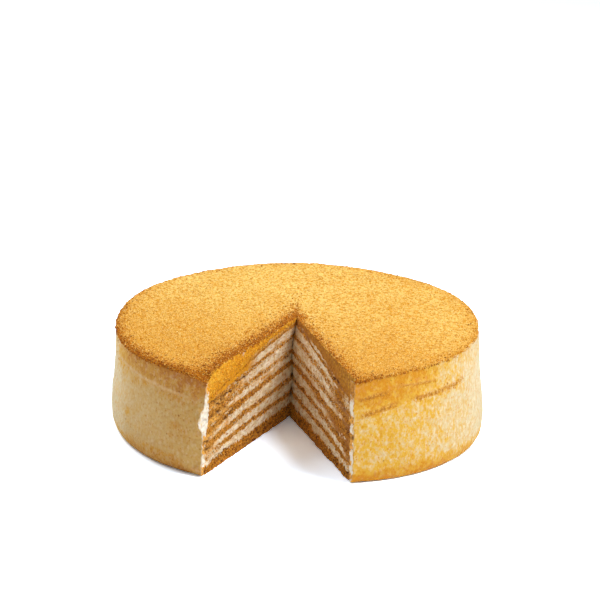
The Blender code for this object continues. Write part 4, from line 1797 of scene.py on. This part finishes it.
row_share = COAT_ROW / (CAKE_HEIGHT - FOOT_TURN_HEIGHT)
coat_rings = [coat_ring(share) for share in steps(0.0, 1.0, row_share)]
coat_rings += [foot_ring(share) for share in steps(0.0, 1.0, 1 / FOOT_TURN_STEPS)[1:]]
coat_rings += inner_rings() + top_rings()
coat = build_ring_wall("dressed_cream_coat", coat_material, coat_rings, draw, coat_cut_marks)
run_tree(coat, TORN_FACE, Seed=60.0, Finish=coat_material, **COAT_TEAR)
pieces.append((coat, "side_coat", "cream_coat"))

# %% [markdown]
# ## The crust
#
# The crust is pressed cake crumbs. Its upper side is one continuous field of small lumps, so it is
# made of points 0.7 mm apart that a noise raises, and the loose crumbs come later. Along the cut
# and round the rim the crumbs are coarser and darker. A mark called `toast` says how much, and at
# the front left of the rim it carries painted shade as well. Towards the front of the top the
# crumbs are painted more amber, as shade.

# %% Colours of the crust
CRUST_GOLDEN = paint(243, 203, 100)
CRUST_LIGHT = paint(253, 228, 146)
CRUST_AMBER = paint(218, 152, 36)
CRUST_TOASTED = paint(176, 102, 12)
CRUST_PIT = paint(178, 108, 14)
CRUST_CUT_BRIGHT = paint(252, 202, 66)


def crust_finish():
    finish = Finish("crumb_crust", CRUST_GOLDEN, 0.92)
    finish.over(CRUST_LIGHT, finish.grain("Tone", 1.0), 0.9)
    finish.over(CRUST_AMBER, finish.blotches(1.7, 0.47, 0.58))
    wide = finish.blotches(30, 0.48, 0.7)
    finish.over(CRUST_AMBER, wide, 0.35)
    # Amber crumbs on the rim, and painted shade that makes the top more amber towards the front.
    finish.over(CRUST_AMBER, finish.mark("lap"), 0.7)
    finish.over(CRUST_PIT, finish.grain("Pits", 1.0), 0.7)
    rough = finish.blotches(1.3, 0.25, 0.5)
    finish.over(CRUST_TOASTED, finish.mark("toast"), rough)
    on_cut = finish.mark("cut")
    finish.over(CRUST_CUT, on_cut)
    finish.over(CRUST_CUT_BRIGHT, on_cut, finish.grain("Tone", 1.6), 0.7)
    deep = finish.blotches(2.2, 0.46, 0.58)
    finish.over(CRUST_CUT_DEEP, on_cut, deep, 0.8)
    outermost = finish.between(finish.mark("reach"), 0.72, 0.95, 0.0, 0.6)
    finish.over(CRUST_CUT_BRIGHT, on_cut, outermost)
    crumbly = finish.blotches(1.5, 0.44, 0.58, 4.0)
    near_tip = finish.between(finish.mark("reach"), 0.75, 0.4, 0.15, 0.8)
    finish.over(CRUST_TOASTED, on_cut, crumbly, near_tip)
    low_down = finish.between(finish.mark("depth"), 0.5, 0.05)
    finish.over(CRUST_CUT_DEEP, on_cut, low_down, 0.75)
    mixed = finish.blotches(2.6, 0.4, 0.56, 5.0)
    finish.over(SPONGE_MID, on_cut, finish.between(finish.mark("depth"), 0.35, 0.0), mixed)
    shaded = finish.in_shade()
    mottled = finish.blotches(1.8, 0.4, 0.62, 5.0)
    finish.over(CRUST_CUT_SHADED, on_cut, shaded, finish.spread(mottled, 0.95, 0.55))
    finish.over(SPONGE_DARK, on_cut, shaded, finish.grain("Pits", 1.2), 0.6)
    dark = finish.specks(1.6, 0.2, 0.4)
    finish.over(SPONGE_DARK, on_cut, dark, finish.spread(low_down, 0.3, 0.9))
    finish.over(CREAM_WHITE, on_cut, finish.mark("smear"))
    # Painted shade in crevices and at the tip.
    finish.over(SPONGE_PORE, on_cut, finish.mark("dark"), HOLLOW_SHADE)
    finish.raised(finish.grain("Height", 0.5), 0.2 * MM)
    return finish.done()


crust_material = crust_finish()
print("finish:", crust_material.name)

# %% The crust's upper side
TOP_SPACING = 0.68 * MM
TOP_MARGIN = 0.4 * MM
TOP_SHAKE = 0.25 * TOP_SPACING
CRUMB_HEAP = 0.35 * MM
CRUMB_HEAP_SIZE = 7.0 * MM
CRUMB_LUMP = 0.3 * MM
CRUMB_LUMP_SIZE = 1.5 * MM
EDGE_BAND = 2.4 * MM
RIM_BAND = 2.3 * MM
TIP_HEAP = 4.0 * MM
EdgeToast = namedtuple("EdgeToast", "band weight")
RIGHT_TOAST = EdgeToast(EDGE_BAND, 0.9)
LEFT_TOAST = EdgeToast(1.6 * EDGE_BAND, 1.45)
RIM_TOAST = (0.12, 1.45)
FORWARD_X = -0.5
FORWARD_Y = -0.87
# The span over which the top is painted more amber towards the front, as shade.
FRONT_SHADE_SPAN = (-0.5, 1.0)
AMBER_RIGHT = (-0.2, 0.7)
AMBER_RIGHT_MOST = 0.28
TOP_RIM_RADIUS = CAKE_RADIUS - LIP_ROUND


def from_cut(place):
    """How far a place on the top is from the cut. It is below 0 in the missing slice."""
    return max(into_cake(LEFT, place), into_cake(RIGHT, place))


def rim_share(radius):
    return math.exp(-max(CAKE_RADIUS - radius, 0.0) / RIM_BAND)


def toast(place, radius):
    """How dark the crumbs are: most along the cut and on the rim, above all on its front left, where
    painted shade adds to browner crumbs.
    """
    near_right = into_cake(RIGHT, place) > into_cake(LEFT, place)
    band, weight = RIGHT_TOAST if near_right else LEFT_TOAST
    edge = weight * math.exp(-max(from_cut(place), 0.0) / band)
    least, more = RIM_TOAST
    rim = rim_share(radius) * (least + more * front_left_browning_and_shade(math.atan2(place.y, place.x)))
    heap = math.exp(-(((place - TIP_TOP).length / TIP_HEAP) ** 2))
    return min(1.0, edge + rim + heap)


def crumb_relief(place, roughness=1.0):
    """Small heaps and lumps in the crumbs, for a place in the cake."""
    heap = CRUMB_HEAP * noise.noise(place / CRUMB_HEAP_SIZE)
    lump = CRUMB_LUMP * noise.noise(place / CRUMB_LUMP_SIZE)
    return heap + lump * roughness


def amber_and_front_shade(place, radius):
    """How amber the crumbs are: more on the rim, and more towards the front of the cake as painted shade.
    """
    forward = (FORWARD_X * place.x + FORWARD_Y * place.y) / CAKE_RADIUS
    right = AMBER_RIGHT_MOST * soft_step(place.x / CAKE_RADIUS, *AMBER_RIGHT)
    return min(1.0, soft_step(forward, *FRONT_SHADE_SPAN) + right + rim_share(radius))


def top_height(x, y):
    """Height of the crust's upper side, how toasted it is and how amber. Both carry some painted shade."""
    height, radius = settled_over(x, y, crust_top)
    dark = toast(Vector((x, y)), radius)
    place = Vector((x, y, 0.0))
    height += crumb_relief(place, 1 + dark) - worn(math.atan2(y, x), place.length)
    return height, dark, amber_and_front_shade(place, radius)


def top_curve(side):
    """The crust's upper edge along the cut, from the tip to where the rim rounds off."""
    loss = edge_outline(LEFT_ANGLE, CAKE_HEIGHT) if side is LEFT else 0.0
    end = reach_at_radius(side, TOP_RIM_RADIUS + loss, crust_top)
    curve = []
    for reach in steps(0.0, end, FACE_SPACING):
        height = height_on_cut(side, reach, crust_top)[0]
        place = cut_place(side, reach, height)
        height -= worn(math.atan2(place.y, place.x), place.xy.length)
        curve.append((reach, height + crumb_relief(Vector((place.x, place.y, 0.0)), 2.0)))
    curve[0] = (0.0, height_on_cut(RIGHT, 0.0, crust_top)[0])
    return curve


def top_places(draw):
    """Places over the whole top, evenly spaced, clear of the cut and of the rim."""
    places = []
    y = -CAKE_RADIUS
    row = 0
    while y < CAKE_RADIUS:
        x = -CAKE_RADIUS + (row % 2) * TOP_SPACING / 2
        while x < CAKE_RADIUS:
            shaken = [value + draw.uniform(-TOP_SHAKE, TOP_SHAKE) for value in (x, y)]
            place = Vector(shaken)
            room = TOP_RIM_RADIUS + edge_outline(math.atan2(place.y, place.x), CAKE_HEIGHT) - TOP_MARGIN
            if settled_over(place.x, place.y, crust_top)[1] < room and from_cut(place) > TOP_MARGIN:
                places.append(place)
            x += TOP_SPACING
        y += TOP_SPACING * math.sqrt(3) / 2
        row += 1
    return places


def top_sheet(draw):
    inner = top_places(draw)

    def lift(shell, number):
        place = inner[number]
        height, dark, amber = top_height(place.x, place.y)
        return shell.point((place.x, place.y, height), up=1.0, toast=dark, lap=amber)

    curves = {side.name: top_curve(side) for side in (LEFT, RIGHT)}
    return Sheet(curves, inner, lift)


# %% The crust's rim and the whole crust
CRUST_TURNS = 800
LIP_TURN_STEPS = 6
LIP_ROWS = 4
LIP_DARKENS = (0.6 * MM, 2.6 * MM)
LIP_TOAST = (0.35, 0.9)
LIP_SQUASH = 0.8
RIM_ROUGHNESS = 1.5
UNDER_LIP_ROW = 0.15
DOWN_ROWS = 18
FLECK_FULL = 1.6
WHITE_FLECK = Spot(0.6, 57.4, 0.008, 1.3, 0.0)


def crust_marks(angle, radius, height):
    place = polar(angle, radius)
    below = soft_step(CAKE_HEIGHT - height, *LIP_DARKENS)
    least, more = LIP_TOAST
    # The lip's side is darker than the top, most at the front left, where painted shade adds to browner
    # crumbs.
    dark = min(1.0, toast(place, radius) + below * (least + more * front_left_browning_and_shade(angle)))
    return {"up": 1.0, "toast": dark, "height": height, "lap": amber_and_front_shade(place, radius)}


def rim_ring(share):
    """A ring of the rounded rim, share 0 on top and 1 on the side."""
    turn = math.pi / 2 * share
    radius = CAKE_RADIUS - LIP_ROUND * (1 - math.sin(turn))
    height = CAKE_HEIGHT - LIP_ROUND * (1 - math.cos(turn))
    level = crust_top(TOP_RIM_RADIUS) - CAKE_HEIGHT

    def at(angle):
        relief = crumb_relief(polar(angle, radius, 3 * (CAKE_HEIGHT - height)), RIM_ROUGHNESS)
        depth = min(lip_depth(angle), CAKE_HEIGHT - height + LIP_ROUND)
        squashed = CAKE_HEIGHT - (CAKE_HEIGHT - height) * min(1.0, depth / LIP_ROUND * LIP_SQUASH)
        lowered = squashed - worn(angle, radius)
        outwards = relief * math.sin(turn) + edge_outline(angle, lowered)
        return radius + outwards, lowered + (relief + level) * math.cos(turn)

    return Ring(CRUST_TURNS, at, crust_marks)


def lip_ring(share):
    """A ring of the lip on the side, share 0 under the rounding and 1 at its lower edge."""

    def at(angle):
        bottom = lip_bottom(angle)
        rounding = LIP_ROUND * min(1.0, lip_depth(angle) / LIP_ROUND * LIP_SQUASH)
        top = CAKE_HEIGHT - rounding - worn(angle, CAKE_RADIUS)
        height = top + (bottom - top) * share
        relief = crumb_relief(polar(angle, CAKE_RADIUS, 3 * (CAKE_HEIGHT - height)), RIM_ROUGHNESS)
        return CAKE_RADIUS + relief + edge_outline(angle, height), height

    return Ring(CRUST_TURNS, at, crust_marks)


def down_ring(share, low):
    """A ring on the crust's inside, share 0 under the lip and 1 at its underside."""

    def at(angle):
        return CORE_RADIUS, lip_bottom(angle) + (low - lip_bottom(angle)) * share

    return Ring(HIDDEN_TURNS, at, no_marks)


def under_lip_rings():
    """Rings back under the lip and down the inside to the crust's underside."""
    shares = steps(1.0, 0.0, UNDER_LIP_ROW)[1:]
    low = droop_face(CRUST_UNDERSIDE)(CORE_RADIUS)
    rings = [below_lip(share, CORE_RADIUS, CAKE_RADIUS, 0.0) for share in shares]
    return rings + [down_ring(i / DOWN_ROWS, low) for i in range(1, DOWN_ROWS + 1)]


def crust_cut_marks(side, share, height):
    if side is RIGHT:
        return {"loose": 0.0}
    return {"smear": min(1.0, FLECK_FULL * near_spot(WHITE_FLECK, share, height))}


crust_rings = [rim_ring(i / LIP_TURN_STEPS) for i in range(LIP_TURN_STEPS + 1)]
crust_rings += [lip_ring(i / LIP_ROWS) for i in range(1, LIP_ROWS + 1)]
crust_rings += under_lip_rings()
lower_curves = {side: cut_lines[side][-1] for side in ("left", "right")}
crust_lower = hidden_sheet(lower_curves, layer_faces[-1], CORE_RADIUS)
crust_upper = top_sheet(draw)
crust = build_disc(
    "dressed_crumb_crust", crust_material, crust_lower, crust_upper, crust_rings, draw, crust_cut_marks
)
run_tree(crust, TORN_FACE, Seed=70.0, Finish=crust_material, **CRUST_TEAR)
pieces.append((crust, "crumb_crust", "crumb_crust"))

# %% [markdown]
# ## Loose crumbs
#
# Real crumbs lie over the crust, thousands of them, from a third of a millimetre to a millimetre.
# One tree scatters them: it drops points on a surface as densely as a mark says, puts a small
# eight-sided crumb on each, turned and stretched at random, and then bends its corners so that no
# two are alike. Each kind of crumb becomes one piece. The finish reads a tone that each crumb keeps.

# %% The crumb tree
CRUMB_INPUTS = (
    ("Crumbs per Square Metre", "NodeSocketFloat"),
    ("Where", "NodeSocketString"),
    ("Smallest", "NodeSocketFloat"),
    ("Largest", "NodeSocketFloat"),
    ("Seed", "NodeSocketInt"),
    ("Finish", "NodeSocketMaterial"),
)
FULL_TURN = (math.tau, math.tau, math.tau)
LEAST_STRETCH = (0.7, 0.7, 0.5)
MOST_STRETCH = (1.35, 1.1, 0.9)


def random_value(tree, seed, kind, values):
    made = node(tree, "FunctionNodeRandomValue", {**values, "Seed": seed}, data_type=kind)
    return made.outputs[1 if kind == "FLOAT" else 0]


def crumb_tree():
    tree, given = new_shape_tree("crumbs", CRUMB_INPUTS)
    seeds = [given["Seed"], *(maths(tree, "ADD", given["Seed"], step) for step in (1.0, 2.0, 3.0))]
    density = maths(tree, "MULTIPLY", named(tree, given["Where"]), given["Crumbs per Square Metre"])
    values = {"Mesh": given["Geometry"], "Density": density, "Seed": seeds[0]}
    points = node(tree, "GeometryNodeDistributePointsOnFaces", values, distribute_method="RANDOM")
    crumb = node(tree, "GeometryNodeMeshUVSphere", {"Segments": 4, "Rings": 2, "Radius": 0.5})
    turn = random_value(tree, seeds[0], "FLOAT_VECTOR", {0: (0.0, 0.0, 0.0), 1: FULL_TURN})
    size = random_value(tree, seeds[1], "FLOAT", {2: given["Smallest"], 3: given["Largest"]})
    stretch = random_value(tree, seeds[2], "FLOAT_VECTOR", {0: LEAST_STRETCH, 1: MOST_STRETCH})
    values = {"Points": points.outputs["Points"], "Instance": crumb.outputs["Mesh"]}
    values |= {"Rotation": turn, "Scale": scaled(tree, stretch, size)}
    placed = node(tree, "GeometryNodeInstanceOnPoints", values).outputs[0]
    tone = random_value(tree, seeds[3], "FLOAT", {})
    values = {"Geometry": placed, "Name": "tone", "Value": tone}
    toned = node(tree, "GeometryNodeStoreNamedAttribute", values, data_type="FLOAT", domain="INSTANCE")
    real = node(tree, "GeometryNodeRealizeInstances", {0: toned.outputs[0]}).outputs[0]
    position = node(tree, "GeometryNodeInputPosition").outputs[0]
    bends = maths(tree, "DIVIDE", 2.0, given["Smallest"])
    bend = node(tree, "ShaderNodeTexNoise", {"Vector": position, "Scale": bends, "Detail": 1.0})
    values = {0: bend.outputs["Color"], 1: (0.5, 0.5, 0.5)}
    centred = node(tree, "ShaderNodeVectorMath", values, operation="SUBTRACT").outputs[0]
    values = {"Geometry": real, "Offset": scaled(tree, centred, given["Largest"])}
    return end_shape_tree(tree, given, node(tree, "GeometryNodeSetPosition", values).outputs[0])


CRUMBS = crumb_tree()


def crumb_finish(name, dark, middle, light):
    """A finish whose colour runs from dark to light with each crumb's own tone."""
    finish = Finish(name, middle, 0.9)
    finish.over(dark, finish.between(finish.mark("tone"), 0.35, 0.0))
    finish.over(light, finish.between(finish.mark("tone"), 0.6, 1.0))
    return finish.done()


def scatter(seed, name, surfaces, finish, where, per_square_mm, smallest, largest):
    """Scatters one kind of crumb, sized in millimetres, over some surfaces as one piece."""
    bm = bmesh.new()
    for surface in surfaces:
        bm.from_mesh(surface.data)
    mesh = bpy.data.meshes.new(name)
    bm.to_mesh(mesh)
    bm.free()
    obj = bpy.data.objects.new(name, mesh)
    bpy.context.scene.collection.objects.link(obj)
    values = dict(Where=where, Smallest=smallest * MM, Largest=largest * MM, Seed=seed, Finish=finish)
    run_tree(obj, CRUMBS, Crumbs_per_Square_Metre=per_square_mm / MM**2, **values)
    print(f"{name}: {len(obj.data.polygons) // 8} crumbs, {len(obj.data.polygons)} triangles")
    return obj


# %% Scatter the crumbs
golden_crumbs = crumb_finish("golden_crumbs", CRUST_AMBER, CRUST_GOLDEN, CRUST_LIGHT)
pale_crumbs = crumb_finish("pale_crumbs", CRUST_GOLDEN, paint(248, 213, 122), paint(255, 234, 164))
amber_crumbs = crumb_finish("amber_crumbs", paint(188, 114, 14), paint(214, 146, 32), CRUST_GOLDEN)
toasted_crumbs = crumb_finish("toasted_crumbs", paint(124, 66, 8), CRUST_TOASTED, paint(222, 144, 26))
cut_crumbs = crumb_finish("cut_crumbs", paint(196, 122, 20), CRUST_CUT, paint(255, 212, 88))
sponge_crumbs = crumb_finish("sponge_crumbs", SPONGE_PORE, SPONGE_MID, paint(236, 176, 84))
sponges = [piece for piece, slot, _ in pieces if slot == "sponge"]
CrumbKind = namedtuple("CrumbKind", "name surfaces finish where per_square_mm smallest largest slot")
crumb_kinds = (
    CrumbKind("fine_crumbs", [crust], golden_crumbs, "up", 0.7, 0.35, 0.65, "crumb_crust"),
    CrumbKind("pale_crumbs", [crust], pale_crumbs, "up", 0.4, 0.4, 0.8, "crumb_crust"),
    # Amber crumbs lie thicker towards the front of the top, as painted shade.
    CrumbKind("amber_crumbs", [crust], amber_crumbs, "lap", 1.0, 0.4, 0.85, "crumb_crust"),
    CrumbKind("toasted_crumbs", [crust], toasted_crumbs, "toast", 4.0, 0.5, 1.2, "crumb_crust"),
    CrumbKind("crust_cut_crumbs", [crust, coat], cut_crumbs, "loose", 2.4, 0.4, 1.1, "crumb_crust"),
    CrumbKind("sponge_crumbs", sponges, sponge_crumbs, "loose", 1.6, 0.4, 1.0, "sponge"),
    CrumbKind("side_crumbs", [coat], toasted_crumbs, "lap", 0.9, 0.4, 0.8, "side_coat"),
    CrumbKind("caught_crumbs", [coat], amber_crumbs, "smudge", 1.6, 0.4, 0.9, "side_coat"),
)
crumbs = []
for seed, kind in enumerate(crumb_kinds, 1):
    crumbs.append((scatter(seed, *kind[:-1]), kind.slot))

# %% [markdown]
# ## Done
#
# Each piece rides on the cake's one body and stands for its solid.

# %% Bodies and solids
for piece, slot, solid in pieces:
    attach(piece, "root")
    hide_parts(solid)
for piece, slot in crumbs:
    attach(piece, "root")
